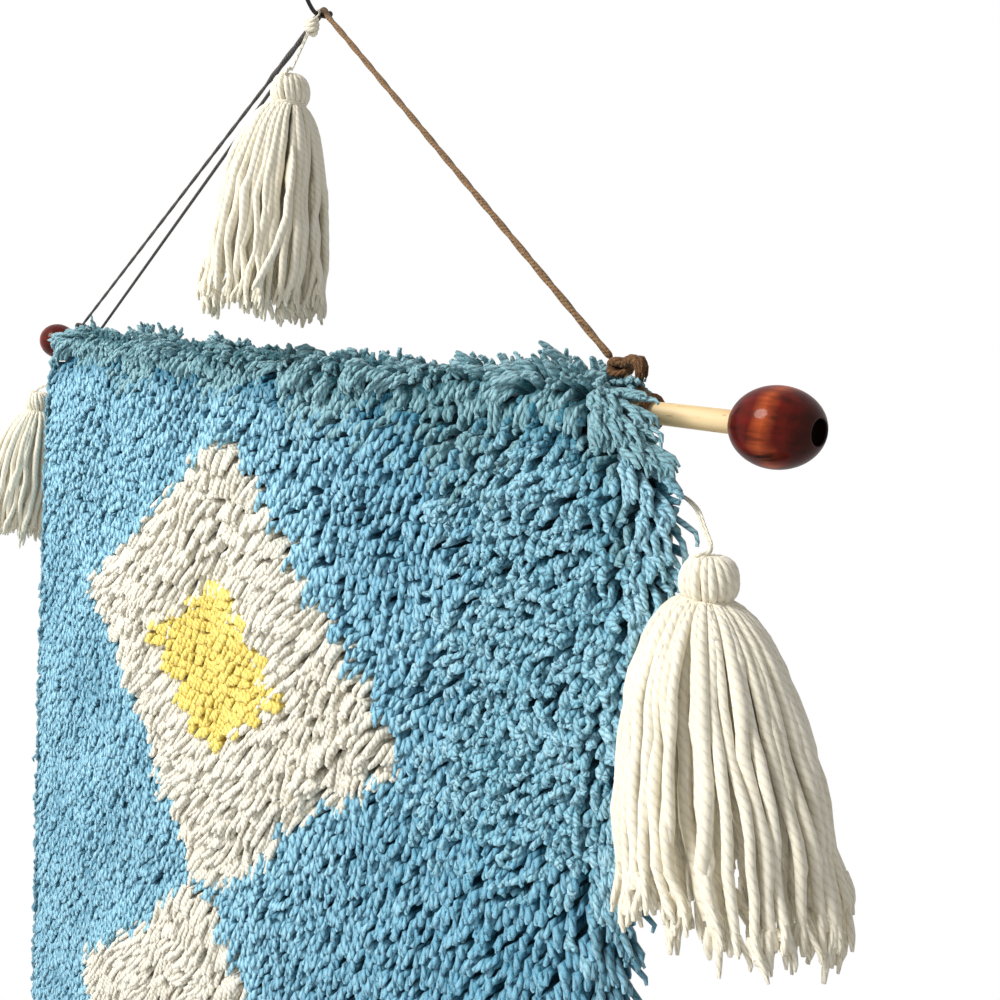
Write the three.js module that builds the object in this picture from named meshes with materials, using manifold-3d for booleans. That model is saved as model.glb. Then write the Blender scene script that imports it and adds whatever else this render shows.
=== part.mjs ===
// Latch hook wall hanging: a knotted yarn panel on a wooden dowel with two turned beads,
// three yarn tassels, a braided hanger cord and the wall hook that holds it.
// Millimetres, +Z up. The wall is the plane Y = 0, and the panel faces -Y.
// The hanging's own group has its origin at the middle of the dowel.

import * as THREE from "three";
import { mergeVertices } from "three/addons/utils/BufferGeometryUtils.js";
import Module from "manifold-3d";

// ---------------------------------------------------------------- driving dimensions

const GAP = 0.3; // between pieces that touch

const DOWEL_DIAMETER = 9.5;
const BEAD_SPAN = 792; // from bead centre to bead centre
const BEAD_DIAMETER = 31.8;
const BEAD_LENGTH = 38.6; // of the full oval, before its ends are bored
const BEAD_POCKET = 7; // empty bore beyond each end of the dowel

const CLOTH_WIDTH = 711;
const CLOTH_TOP_WIDTH = 650; // where the cloth goes over the dowel
const CORNER_START = 9; // the cloth keeps its top width down to here, clear of the cord's turns
const CORNER_EASE = 12; // and then runs out to the full width over about this drop
const CLOTH_DROP = 1000; // from the dowel's middle to the foot
const CANVAS_THICKNESS = 1.6;
const TOP_HEM = 42;
const FOOT_HEM = 32;
const LAYER_PITCH = 2.1; // between a hem and the cloth that it lies on

const PILE_DEPTH = 21;
const LONG_PILE_EXTRA = 8; // the long pile stands this much prouder
const ROLL_RADIUS = 23; // reach of the pile round the dowel
const ROLL_END_ANGLE = 60; // the pile ends this many degrees above the back of the dowel
const CREASE_DEPTH = 12; // pile left in the crease under the roll
const PILE_SPLAY = 6; // the pile leans out past the side edges

const WALL_DISTANCE = 16.5; // from the dowel's middle to the wall
const HOOK_ACROSS = 47; // the hook is right of the dowel's middle
const PLATE_RISE = 240; // the hook's plate is above the dowel
const PLATE_DIAMETER = 24;
const PLATE_THICKNESS = 2.5;
const HOOK_WIRE = 2.5;
const HOOK_BOTTOM = 210; // middle of the wire where the cord lies on it

const CORD_DIAMETER = 3.2; // two strands twisted together
const STRAND_DIAMETER = 2.3; // one of them, where they part
const CORD_TURNS_START = 331; // the turns round the dowel, just outside the cloth
const TIE_DIAMETER = 2.2; // two thin strands side by side
const LOOP_DIAMETER = 1.2;

const TASSEL_NECK_RADIUS = 8;
const TASSEL_HEAD_RADIUS = 12.2;
const TASSEL_HEAD_TOP = 10; // above the middle of the head
const TASSEL_NECK_DROP = 9; // below the middle of the head

// Each tassel: middle of its head, middle of its foot, half sizes of the foot, and how
// fast the skirt spreads (a small power gives broad shoulders).
const TASSELS = [
  { name: "top", head: [47, -16.5, 164.6], foot: [45, -23, 31.5], across: 38, deep: 36, flare: 0.16 },
  { name: "right", head: [384, -15, -57.7], foot: [418, -27, -191], across: 43, deep: 41, flare: 0.34 },
  { name: "left", head: [-386, -20, -55], foot: [-419, -27, -188], across: 43, deep: 41, flare: 0.34 },
];

// Height of the pile's top edge above the dowel's middle, from left to right.
const TOP_EDGE = [
  { x: -356, height: 9 },
  { x: -319, height: 9 },
  { x: -309, height: 14 },
  { x: -290, height: 11.5 },
  { x: -268, height: 7.5 },
  { x: -250, height: 7.5 },
  { x: -230, height: 9 },
  { x: -190, height: 13 },
  { x: -150, height: 14.5 },
  { x: -125, height: 13 },
  { x: -90, height: 8.5 },
  { x: -50, height: 12.5 },
  { x: -25, height: 12.5 },
  { x: 10, height: 8.5 },
  { x: 30, height: 8.5 },
  { x: 55, height: 11 },
  { x: 90, height: 11.5 },
  { x: 110, height: 7.5 },
  { x: 130, height: 8 },
  { x: 165, height: 9 },
  { x: 190, height: 13.5 },
  { x: 208, height: 19 },
  { x: 228, height: 16 },
  { x: 250, height: 15.5 },
  { x: 272, height: 18 },
  { x: 297, height: 17 },
  { x: 308, height: 9 },
  { x: 356, height: 8.5 },
];

// Stepped diamonds of long pile, one under the other, each with a short-pile core.
const MEDALLIONS = [{ z: -190 }, { z: -506 }, { z: -822 }];
const MEDALLION_ACROSS = 216;
const MEDALLION_TALL = 154;
const MEDALLION_CORE = 0.42;

const COLOURS = {
  canvas: { color: 0xcfc2a4, roughness: 0.9, metalness: 0 },
  pile: { color: 0x6db4dc, roughness: 0.95, metalness: 0 },
  dowel: { color: 0xe8cb97, roughness: 0.55, metalness: 0 },
  bead: { color: 0x7a1f16, roughness: 0.2, metalness: 0 },
  cord: { color: 0x7f5a38, roughness: 0.85, metalness: 0 },
  yarn: { color: 0xe9e1cd, roughness: 0.95, metalness: 0 },
  hook: { color: 0x2e2d2c, roughness: 0.45, metalness: 0.8 },
};

// ---------------------------------------------------------------- geometry helpers

const wasm = await Module();
wasm.setup();

const { degToRad, lerp, smoothstep } = THREE.MathUtils;

function facingOut(geometry) {
  const solid = mergeVertices(bare(geometry), 1e-4);
  const at = solid.getAttribute("position");
  const index = solid.getIndex().array;
  const [a, b, c] = [new THREE.Vector3(), new THREE.Vector3(), new THREE.Vector3()];
  let volume = 0;
  for (let i = 0; i < index.length; i += 3) {
    a.fromBufferAttribute(at, index[i]);
    b.fromBufferAttribute(at, index[i + 1]);
    c.fromBufferAttribute(at, index[i + 2]);
    volume += a.dot(b.cross(c));
  }
  if (volume < 0) {
    for (let i = 0; i < index.length; i += 3) [index[i], index[i + 1]] = [index[i + 1], index[i]];
  }
  return solid;
}

function bare(geometry) {
  const copy = geometry.clone();
  copy.deleteAttribute("normal");
  copy.deleteAttribute("uv");
  return copy;
}

// Joins overlapping closed shapes into one solid.
function joined(geometries) {
  let whole = null;
  for (const geometry of geometries) {
    const solid = facingOut(geometry);
    const part = new wasm.Manifold(
      new wasm.Mesh({
        numProp: 3,
        vertProperties: new Float32Array(solid.getAttribute("position").array),
        triVerts: new Uint32Array(solid.getIndex().array),
      }),
    );
    whole = whole ? whole.add(part) : part;
  }
  const mesh = whole.getMesh();
  const geometry = new THREE.BufferGeometry();
  geometry.setAttribute("position", new THREE.BufferAttribute(mesh.vertProperties, 3));
  geometry.setIndex(new THREE.BufferAttribute(mesh.triVerts, 1));
  return geometry;
}

// Skins a row of rings. Each ring is a closed list of { at, flat }: its place, and its
// place in the ring's own plane, by which the two end rings are filled.
function skin(rings) {
  const around = rings[0].length;
  const places = rings.flat().flatMap(({ at }) => at.toArray());
  const index = [];
  for (let row = 0; row < rings.length - 1; row += 1) {
    for (let i = 0; i < around; i += 1) {
      const next = (i + 1) % around;
      const [a, b] = [row * around + i, row * around + next];
      const [c, d] = [a + around, b + around];
      index.push(a, b, c, b, d, c);
    }
  }
  const last = (rings.length - 1) * around;
  const outline = (ring) => ring.map(({ flat }) => flat);
  for (const [i, j, k] of THREE.ShapeUtils.triangulateShape(outline(rings[0]), [])) index.push(k, j, i);
  for (const [i, j, k] of THREE.ShapeUtils.triangulateShape(outline(rings.at(-1)), [])) {
    index.push(last + i, last + j, last + k);
  }
  const geometry = new THREE.BufferGeometry();
  geometry.setAttribute("position", new THREE.Float32BufferAttribute(places, 3));
  geometry.setIndex(index);
  return facingOut(geometry);
}

function tube(curve, diameter, steps, sides = 8) {
  const section = new THREE.Shape();
  for (let i = 0; i < sides; i += 1) {
    const angle = (i / sides) * 2 * Math.PI;
    const [x, y] = [Math.cos(angle) * (diameter / 2), Math.sin(angle) * (diameter / 2)];
    if (i === 0) section.moveTo(x, y);
    else section.lineTo(x, y);
  }
  section.closePath();
  return new THREE.ExtrudeGeometry(section, { steps, extrudePath: curve, bevelEnabled: false });
}

const point = (x, y, z) => new THREE.Vector3(x, y, z);
const through = (points) => new THREE.CatmullRomCurve3(points.map((p) => point(...p)), false, "centripetal");
const straight = (from, to) => new THREE.LineCurve3(point(...from), point(...to));

// A turned shape: the profile's columns are radius and place along the axis.
function turned(profile, segments) {
  const outline = profile.map(([r, along]) => new THREE.Vector2(r, along));
  return facingOut(new THREE.LatheGeometry(outline, segments));
}

function ball(centre, radii, detail = 12) {
  return new THREE.SphereGeometry(1, detail, Math.round(detail / 2)).scale(...radii).translate(...centre);
}

function piece(name, geometry, material) {
  const mesh = new THREE.Mesh(geometry, new THREE.MeshStandardMaterial(COLOURS[material]));
  mesh.name = name;
  return mesh;
}

// ---------------------------------------------------------------- dowel and beads

const alongX = (geometry) => geometry.rotateZ(-Math.PI / 2);

function dowel() {
  const length = BEAD_SPAN + beadFlatLength() - 2 * BEAD_POCKET;
  const radius = DOWEL_DIAMETER / 2;
  return piece("dowel", alongX(new THREE.CylinderGeometry(radius, radius, length, 24)), "dowel");
}

function beadFlatLength() {
  const bore = DOWEL_DIAMETER / 2 + GAP;
  return BEAD_LENGTH * Math.sqrt(1 - (bore / (BEAD_DIAMETER / 2)) ** 2);
}

function bead(name, side) {
  const bore = DOWEL_DIAMETER / 2 + GAP;
  const end = Math.asin(bore / (BEAD_DIAMETER / 2));
  const steps = 11;
  const profile = [];
  for (let i = 0; i <= steps; i += 1) {
    const angle = lerp(end, Math.PI - end, i / steps);
    profile.push([Math.sin(angle) * (BEAD_DIAMETER / 2), -Math.cos(angle) * (BEAD_LENGTH / 2)]);
  }
  profile.push(profile[0]);
  const mesh = piece(name, alongX(turned(profile, 24)), "bead");
  mesh.position.x = side * (BEAD_SPAN / 2);
  return mesh;
}

// ---------------------------------------------------------------- cloth

const WRAP_RADIUS = DOWEL_DIAMETER / 2 + GAP + CANVAS_THICKNESS / 2;
const HANG_Y = -2.2; // the cloth swings in under the dowel to here

// Middle of the cloth, front to back, at a height below the dowel.
function frontY(z) {
  const down = -z / CLOTH_DROP;
  const swell = -4 * Math.sin(Math.PI * down) + 5 * down ** 2;
  return HANG_Y + (-WRAP_RADIUS - HANG_Y) * Math.exp(z / 22) + swell;
}

function topHemY(z) {
  return frontY(z) + LAYER_PITCH + (2 * WRAP_RADIUS - LAYER_PITCH) * Math.exp(z / 25);
}

function halfWidth(z) {
  const corner = 1 - Math.exp(Math.min(z + CORNER_START, 0) / CORNER_EASE);
  return (CLOTH_TOP_WIDTH + (CLOTH_WIDTH - CLOTH_TOP_WIDTH) * corner) / 2;
}

// A slow wave from side to side, which dies out where the cloth meets the dowel.
function wave(across, z) {
  return (1.6 * Math.sin(across * 5.2 + 0.7) - 1.2 * across ** 2) * smoothstep(-z, 20, 260);
}

// The rows of the front, from the foot up to the dowel.
function frontRows() {
  const rows = [];
  for (let z = -CLOTH_DROP + LAYER_PITCH / 2; z < -80; z += 28) rows.push(z);
  return [...rows, -66, -50, -36, -24, -14, -6];
}

// The path of the cloth seen from its side, from the top of the foot hem, round the foot,
// up the front, over the dowel and down to the end of the top hem.
function clothPath() {
  const path = [];
  const footMiddle = -CLOTH_DROP + LAYER_PITCH / 2;
  for (const z of [-CLOTH_DROP + FOOT_HEM, footMiddle + 10]) {
    path.push({ y: frontY(z) + LAYER_PITCH, z, width: halfWidth(z) });
  }
  for (const angle of [0, 45, 90, 135]) {
    const turn = degToRad(angle);
    const y = frontY(footMiddle) + (LAYER_PITCH / 2) * (1 + Math.cos(turn));
    const z = footMiddle - (LAYER_PITCH / 2) * Math.sin(turn);
    path.push({ y, z, width: halfWidth(z) });
  }
  for (const z of frontRows()) path.push({ y: frontY(z), z, width: halfWidth(z), front: true });
  for (let angle = 180; angle >= 0; angle -= 20) {
    const turn = degToRad(angle);
    const [y, z] = [WRAP_RADIUS * Math.cos(turn), WRAP_RADIUS * Math.sin(turn)];
    path.push({ y, z, width: halfWidth(0), angle });
  }
  for (const z of [-6, -14, -26, -TOP_HEM]) path.push({ y: topHemY(z), z, width: halfWidth(0) });
  return withNormals(path);
}

// Adds to each row the direction in which the cloth's face looks there. It is lengthened
// at a bend, so that a layer keeps its thickness round it.
function withNormals(path) {
  const side = (from, to) => new THREE.Vector2(to.z - from.z, -(to.y - from.y)).normalize().negate();
  return path.map((row, i) => {
    const before = side(path[Math.max(i - 1, 0)], path[Math.max(i, 1)]);
    const after = side(path[Math.min(i, path.length - 2)], path[Math.min(i + 1, path.length - 1)]);
    const normal = before.clone().add(after).normalize();
    normal.divideScalar(Math.max(normal.dot(before), 0.7));
    return { ...row, normal };
  });
}

const CANVAS_COLUMNS = 12;

// The cloth's middle at a row and a place across it, from -1 to 1, moved out along the
// row's normal. Between the canvas columns it runs straight, as the canvas facets do.
function clothPoint(row, across, outward, splay = 0) {
  const column = ((across + 1) / 2) * CANVAS_COLUMNS;
  const left = Math.min(Math.floor(column), CANVAS_COLUMNS - 1);
  const acrossAt = (k) => (k / CANVAS_COLUMNS) * 2 - 1;
  const shift = lerp(wave(acrossAt(left), row.z), wave(acrossAt(left + 1), row.z), column - left);
  const x = across * row.width + splay;
  return {
    at: point(x, row.y + shift + row.normal.x * outward, row.z + row.normal.y * outward),
    flat: new THREE.Vector2(x, outward + shift * Math.sign(row.normal.x)),
  };
}

function columns(count) {
  return Array.from({ length: count + 1 }, (_, i) => (i / count) * 2 - 1);
}

function canvas(path) {
  const rings = path.map((row) => [
    ...columns(CANVAS_COLUMNS).map((across) => clothPoint(row, across, -CANVAS_THICKNESS / 2)),
    ...columns(CANVAS_COLUMNS).reverse().map((across) => clothPoint(row, across, CANVAS_THICKNESS / 2)),
  ]);
  return piece("canvas", skin(rings), "canvas");
}

function topEdge(x) {
  const next = Math.max(1, TOP_EDGE.findIndex((entry) => entry.x >= x));
  const [a, b] = [TOP_EDGE[next - 1], TOP_EDGE[next]];
  return lerp(a.height, b.height, smoothstep(x, a.x, b.x));
}

// 1 on the long pile of the diamonds, 0 on the short pile round them and in their cores.
function longPile(x, z) {
  const rings = MEDALLIONS.map((medallion) => {
    const reach = Math.abs(x) / MEDALLION_ACROSS + Math.abs(z - medallion.z) / MEDALLION_TALL;
    const outside = smoothstep(reach, MEDALLION_CORE - 0.08, MEDALLION_CORE + 0.08);
    return outside * (1 - smoothstep(reach, 0.9, 1.05));
  });
  return Math.max(...rings);
}

function unevenness(x, z) {
  return 1.4 * Math.sin(x / 37 + 1.3) * Math.cos(z / 29 + 0.4) + 1.1 * Math.sin(x / 21 - z / 33);
}

// How far the pile stands out of the canvas.
function pileDepth(row, x) {
  const root = CANVAS_THICKNESS / 2 + GAP;
  if (row.angle === undefined) {
    const crease = 1 - smoothstep(-row.z, 5, 34);
    const depth = lerp(PILE_DEPTH, CREASE_DEPTH, crease) + unevenness(x, row.z);
    return depth + LONG_PILE_EXTRA * longPile(x, row.z);
  }
  const forward = smoothstep(row.angle, 150, 180);
  const rise = Math.max(Math.sin(degToRad(row.angle)), 0.3);
  const reach = Math.min(lerp(ROLL_RADIUS, ROLL_RADIUS - 3, forward), topEdge(x) / rise);
  const back = smoothstep(row.angle, ROLL_END_ANGLE, 110);
  return Math.max(lerp(4, reach - WRAP_RADIUS, back) - root, 1.2);
}

function pile(path) {
  const root = CANVAS_THICKNESS / 2 + GAP;
  const rows = path.filter((row) => row.front || row.angle >= ROLL_END_ANGLE);
  const across = columns(2 * CANVAS_COLUMNS);
  const rings = rows.map((row) => {
    const depth = (place) => pileDepth(row, place * row.width);
    const splay = row.front ? PILE_SPLAY : 2;
    return [
      ...across.map((place) => clothPoint(row, place, root)),
      clothPoint(row, 1, root + depth(1) * 0.5, splay),
      ...across.toReversed().map((place) => clothPoint(row, place, root + depth(place))),
      clothPoint(row, -1, root + depth(-1) * 0.5, -splay),
    ];
  });
  return piece("pile", skin(rings), "pile");
}

// ---------------------------------------------------------------- wall hook

// The wire's path from the plate forward, down in front, back under the cord and a little up behind.
const HOOK_PATH = [
  { y: 14.6, z: 240 },
  { y: 8.5, z: 240.5 },
  { y: 1, z: 240.2 },
  { y: -6, z: 237.2 },
  { y: -10.8, z: 231 },
  { y: -11.4, z: 223.5 },
  { y: -8.6, z: 216.6 },
  { y: -4.4, z: 211.6 },
  { y: -1.4, z: HOOK_BOTTOM },
  { y: 2.4, z: HOOK_BOTTOM },
  { y: 6.2, z: 211 },
  { y: 7.2, z: 212.4 },
];
const HOOK_TIP_RADIUS = 1.7;

function wallHook() {
  const plate = new THREE.CylinderGeometry(PLATE_DIAMETER / 2, PLATE_DIAMETER / 2, PLATE_THICKNESS, 32);
  plate.translate(HOOK_ACROSS, WALL_DISTANCE - PLATE_THICKNESS / 2, PLATE_RISE);
  const wire = tube(through(HOOK_PATH.map(({ y, z }) => [HOOK_ACROSS, y, z])), HOOK_WIRE, 40, 8);
  const tip = HOOK_PATH.at(-1);
  const end = ball([HOOK_ACROSS, tip.y, tip.z], [HOOK_TIP_RADIUS, HOOK_TIP_RADIUS, HOOK_TIP_RADIUS]);
  return piece("wall_hook", joined([plate, wire, end]), "hook");
}

// ---------------------------------------------------------------- hanger cord and knots

const SEAT_Z = HOOK_BOTTOM + HOOK_WIRE / 2 + GAP + CORD_DIAMETER / 2;
const SEAT_Y = 2.6;
const SEAT = [HOOK_ACROSS, SEAT_Y, SEAT_Z];
const RIGHT_KNOT = { centre: [316.8, -3, 17.3], radii: [7.2, 5, 4.9] };
const LEFT_KNOT = { centre: [-327.2, -4, 14.6], radii: [6.6, 4.8, 4.6] };
const PARTING = [-12.8, 1.5, 181.4]; // on the left leg, where the two strands part
const JOIN_KNOT = { centre: [-12.8, 6.5, 181.4], radii: [3.3, 3, 3.3] };
const RETURN_START = [-333.5, 9.3, 3.8]; // behind the left turns

function towards(from, to, distance) {
  return point(...from).add(point(...to).sub(point(...from)).setLength(distance)).toArray();
}

// The place just outside a knot where a cord that runs to a target leaves it.
function edgeOf({ centre, radii }, target) {
  const direction = point(...target).sub(point(...centre)).normalize();
  const reach = 1 / Math.hypot(...direction.toArray().map((part, axis) => part / radii[axis]));
  return towards(centre, target, reach + 2 * GAP);
}

// One taut cord over the hook: two straight legs and the bend between them. Below the parting
// on the left it goes on as one strand.
function hangerCord() {
  const [bend, lap] = [6, 4];
  const [rightEnd, leftEnd] = [edgeOf(RIGHT_KNOT, SEAT), edgeOf(LEFT_KNOT, SEAT)];
  const [rightOfSeat, leftOfSeat] = [towards(SEAT, rightEnd, bend), towards(SEAT, leftEnd, bend)];
  const overHook = through([
    towards(SEAT, rightEnd, bend + lap),
    rightOfSeat,
    [HOOK_ACROSS + 2, SEAT_Y, SEAT_Z - 0.35],
    [HOOK_ACROSS, SEAT_Y, SEAT_Z + 0.2],
    [HOOK_ACROSS - 2, SEAT_Y, SEAT_Z - 0.2],
    leftOfSeat,
    towards(SEAT, leftEnd, bend + lap),
  ]);
  return piece(
    "hanger_cord",
    joined([
      tube(straight(rightEnd, rightOfSeat), CORD_DIAMETER, 1),
      tube(overHook, CORD_DIAMETER, 12),
      tube(straight(leftOfSeat, PARTING), CORD_DIAMETER, 1),
      tube(straight(towards(PARTING, SEAT, 2), leftEnd), STRAND_DIAMETER, 1),
    ]),
    "cord",
  );
}

function returnCord() {
  const end = edgeOf(JOIN_KNOT, RETURN_START);
  return piece("return_cord", tube(straight(RETURN_START, end), STRAND_DIAMETER, 1), "cord");
}

// Two turns of the cord round the dowel, seen in section.
function dowelTurns(side) {
  const [inner, half] = [DOWEL_DIAMETER / 2 + GAP, CORD_DIAMETER / 2];
  const profile = [[inner, 0]];
  for (const turn of [0, 1]) {
    for (const angle of [150, 110, 70, 30]) {
      const along = (2 * turn + 1 + Math.cos(degToRad(angle))) * half;
      profile.push([inner + half + Math.sin(degToRad(angle)) * half, along]);
    }
  }
  profile.push([inner, 4 * half], [inner, 0]);
  const turns = alongX(turned(profile, 16));
  if (side < 0) turns.rotateY(Math.PI);
  return turns.translate(side * CORD_TURNS_START, 0, 0);
}

// The knot stands over the edge of the cloth, and a short length runs from it to the turns.
function knotRight() {
  const tail = through([[319, -5, 18], [326, -6, 20.8], [331.5, -6.5, 19], [333, -7, 13.5]]);
  return piece(
    "knot_right",
    joined([
      dowelTurns(1),
      tube(straight([332.8, -2, 6.6], [320, -3, 14.2]), CORD_DIAMETER, 2),
      ball(RIGHT_KNOT.centre, RIGHT_KNOT.radii),
      tube(tail, CORD_DIAMETER, 6),
    ]),
    "cord",
  );
}

function knotLeft() {
  return piece(
    "knot_left",
    joined([
      dowelTurns(-1),
      tube(straight([-334.2, -2, 6], [-330, -4, 13]), CORD_DIAMETER, 2),
      ball(LEFT_KNOT.centre, LEFT_KNOT.radii),
    ]),
    "cord",
  );
}

function knotJoin() {
  return piece("knot_join", ball(JOIN_KNOT.centre, JOIN_KNOT.radii), "cord");
}

// ---------------------------------------------------------------- tassels

function tasselHead(name) {
  const profile = [[0, TASSEL_HEAD_TOP]];
  for (const angle of [66, 42, 20, 0, -20, -36, -46]) {
    const turn = degToRad(angle);
    profile.push([TASSEL_HEAD_RADIUS * Math.cos(turn), TASSEL_HEAD_TOP * Math.sin(turn)]);
  }
  profile.push([TASSEL_NECK_RADIUS, -TASSEL_NECK_DROP + 0.8], [TASSEL_NECK_RADIUS, -TASSEL_NECK_DROP]);
  profile.push([0, -TASSEL_NECK_DROP]);
  return piece(`tassel_${name}_head`, turned(profile, 16).rotateX(Math.PI / 2), "yarn");
}

function tasselBinding(name) {
  const [inner, outer] = [TASSEL_NECK_RADIUS + GAP, TASSEL_NECK_RADIUS + 1.9];
  const profile = [
    [inner, 0],
    [inner, 3.6],
    [outer - 0.4, 3.2],
    [outer, 1.8],
    [outer - 0.4, 0.4],
    [inner, 0],
  ];
  const binding = turned(profile, 16).rotateX(Math.PI / 2);
  return piece(`tassel_${name}_binding`, binding.translate(0, 0, -TASSEL_NECK_DROP - 2.8), "yarn");
}

const SKIRT_ROWS = [0, 0.028, 0.05, 0.1, 0.18, 0.32, 0.5, 0.7, 0.88, 1];
const SKIRT_NECK = 0.028; // the strands stay gathered down to here

// The skirt, from the neck to its uneven foot. Its middle line leans from head to foot.
function tasselSkirt({ name, head, foot, across, deep, flare }) {
  const bottom = point(...foot).sub(point(...head));
  const sides = 24;
  const rings = SKIRT_ROWS.map((down) => {
    const spread = Math.max(down - SKIRT_NECK, 0) ** flare;
    const middle = lerp(-TASSEL_NECK_DROP - GAP, bottom.z, down);
    const lean = Math.max(down - SKIRT_NECK, 0) / (1 - SKIRT_NECK);
    return Array.from({ length: sides }, (_, i) => {
      const turn = (i / sides) * 2 * Math.PI;
      const lobes = 1 + 0.035 * spread * Math.cos(7 * turn + 2 * down);
      const hem = down === 1 ? 2.5 * Math.cos(5 * turn + across) : 0;
      const x = Math.cos(turn) * lerp(TASSEL_NECK_RADIUS, across, spread) * lobes;
      const y = Math.sin(turn) * lerp(TASSEL_NECK_RADIUS, deep, spread) * lobes;
      const at = point(bottom.x * lean + x, bottom.y * lean + y, middle + hem);
      return { at, flat: new THREE.Vector2(x, y) };
    });
  });
  return piece(`tassel_${name}_skirt`, skin(rings), "yarn");
}

function tassel(row) {
  const group = new THREE.Group();
  group.position.set(...row.head);
  group.add(tasselHead(row.name), tasselBinding(row.name), tasselSkirt(row));
  return group;
}

// Ties by which the tassels hang, in the hanging's own frame.
const SIDE_TIES = {
  right: [[383.4, -14.8, -46.7], [376, -11, -41], [366, -4, -35.5], [356, -0.9, -32], [346, -1.3, -30.5]],
  left: [[-385.4, -19.8, -43.9], [-377, -13, -39], [-366, -4.5, -35], [-356, -0.9, -32], [-346, -1.3, -30.5]],
};
const TOP_KNOT = [47.3, -4.4, 202.4];
const TOP_TIE = [[47.1, -16.2, 175.1], [47.4, -12.5, 185], [47.3, -7.1, 198.2]];

function sideTie(name) {
  return piece(`tassel_${name}_tie`, tube(through(SIDE_TIES[name]), TIE_DIAMETER, 12), "yarn");
}

function topTie() {
  return piece("tassel_top_tie", tube(through(TOP_TIE), TIE_DIAMETER, 6), "yarn");
}

function topKnot() {
  return piece("tassel_top_knot", ball(TOP_KNOT, [4, 3.6, 4.9]), "yarn");
}

// The thin loop from the knot over the hook's wire.
function topLoop() {
  const reach = HOOK_WIRE / 2 + GAP + LOOP_DIAMETER / 2;
  const [x, y, z] = [HOOK_ACROSS, -1.2, HOOK_BOTTOM];
  const path = [
    [x - reach + 0.6, -3.6, z - 2.7],
    [x - reach - 0.15, y - 0.5, z - 0.6],
    [x - reach * 0.78, y, z + reach * 0.72],
    [x, y, z + reach + 0.12],
    [x + reach * 0.78, y, z + reach * 0.72],
    [x + reach + 0.15, y - 0.5, z - 0.6],
    [x + reach - 0.6, -3.6, z - 2.7],
  ];
  return piece("tassel_top_loop", tube(through(path), LOOP_DIAMETER, 16), "yarn");
}

// ---------------------------------------------------------------- the whole hanging

const path = clothPath();

const hanging = new THREE.Group();
hanging.position.set(-HOOK_ACROSS, -WALL_DISTANCE, -PLATE_RISE);
hanging.add(
  canvas(path),
  pile(path),
  dowel(),
  bead("bead_right", 1),
  bead("bead_left", -1),
  wallHook(),
  hangerCord(),
  returnCord(),
  knotRight(),
  knotLeft(),
  knotJoin(),
  ...TASSELS.map(tassel),
  sideTie("right"),
  sideTie("left"),
  topTie(),
  topKnot(),
  topLoop(),
);

const part = new THREE.Group();
part.add(hanging);

export default part;
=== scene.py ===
"""The looks of a latch hook wall hanging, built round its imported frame.

Metres, +Z up. The wall is the plane Y = 0 and the panel faces -Y. Places on the hanging are
given from the middle of its dowel, as at(x, y, z).
"""

import math
import random
from math import cos, exp, pi, radians, sin, sqrt

import bpy
from mathutils import Matrix, Vector, noise
from mathutils.bvhtree import BVHTree


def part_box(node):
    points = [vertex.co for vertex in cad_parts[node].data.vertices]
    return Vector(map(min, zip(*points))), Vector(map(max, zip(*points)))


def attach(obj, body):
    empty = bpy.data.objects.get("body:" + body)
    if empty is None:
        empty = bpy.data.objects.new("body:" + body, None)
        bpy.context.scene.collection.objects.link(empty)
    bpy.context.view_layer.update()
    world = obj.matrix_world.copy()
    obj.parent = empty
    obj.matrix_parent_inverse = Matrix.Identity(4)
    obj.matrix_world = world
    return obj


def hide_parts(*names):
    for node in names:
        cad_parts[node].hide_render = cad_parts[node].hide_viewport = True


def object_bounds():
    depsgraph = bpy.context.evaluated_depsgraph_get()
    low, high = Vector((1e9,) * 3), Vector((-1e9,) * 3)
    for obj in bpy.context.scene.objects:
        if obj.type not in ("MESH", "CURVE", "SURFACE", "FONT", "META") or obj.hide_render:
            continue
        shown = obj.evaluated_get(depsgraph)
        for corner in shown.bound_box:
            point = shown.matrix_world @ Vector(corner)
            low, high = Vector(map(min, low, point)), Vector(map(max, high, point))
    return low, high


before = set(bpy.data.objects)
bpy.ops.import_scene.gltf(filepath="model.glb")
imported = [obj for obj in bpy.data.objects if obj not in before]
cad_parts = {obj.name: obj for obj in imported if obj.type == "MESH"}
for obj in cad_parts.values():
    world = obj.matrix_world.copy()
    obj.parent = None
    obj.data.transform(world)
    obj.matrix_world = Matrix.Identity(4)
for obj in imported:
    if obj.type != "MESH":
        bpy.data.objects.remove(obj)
cad_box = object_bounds()

# ------------------------------------------------------------------ sizes

DOWEL_LOW, DOWEL_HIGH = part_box("dowel")
MIDDLE = (DOWEL_LOW + DOWEL_HIGH) / 2
DOWEL_RADIUS = (DOWEL_HIGH.z - DOWEL_LOW.z) / 2
GAP = 0.0003

CLOTH_WIDTH = 0.711
CLOTH_TOP_WIDTH = 0.65
CORNER_START = 0.009
CORNER_EASE = 0.012
CLOTH_DROP = 1.0
CANVAS_THICKNESS = 0.0016
TOP_HEM = 0.042
FOOT_HEM = 0.032
LAYER_PITCH = 0.0021
WRAP_RADIUS = DOWEL_RADIUS + GAP + CANVAS_THICKNESS / 2
HANG_Y = -0.0022

STITCHES_ACROSS = 92
STITCH = CLOTH_WIDTH / STITCHES_ACROSS

CORD_DIAMETER = 0.0032
STRAND_DIAMETER = 0.0023
HOOK_WIRE = 0.0025
HOOK_ACROSS = 0.047

# ------------------------------------------------------------------ shapes and chance


def at(x, y, z):
    return MIDDLE + Vector((x, y, z))


def clamp(value, low=0, high=1):
    return min(max(value, low), high)


def smoothstep(value, low, high):
    share = clamp((value - low) / (high - low))
    return share * share * (3 - 2 * share)


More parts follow.
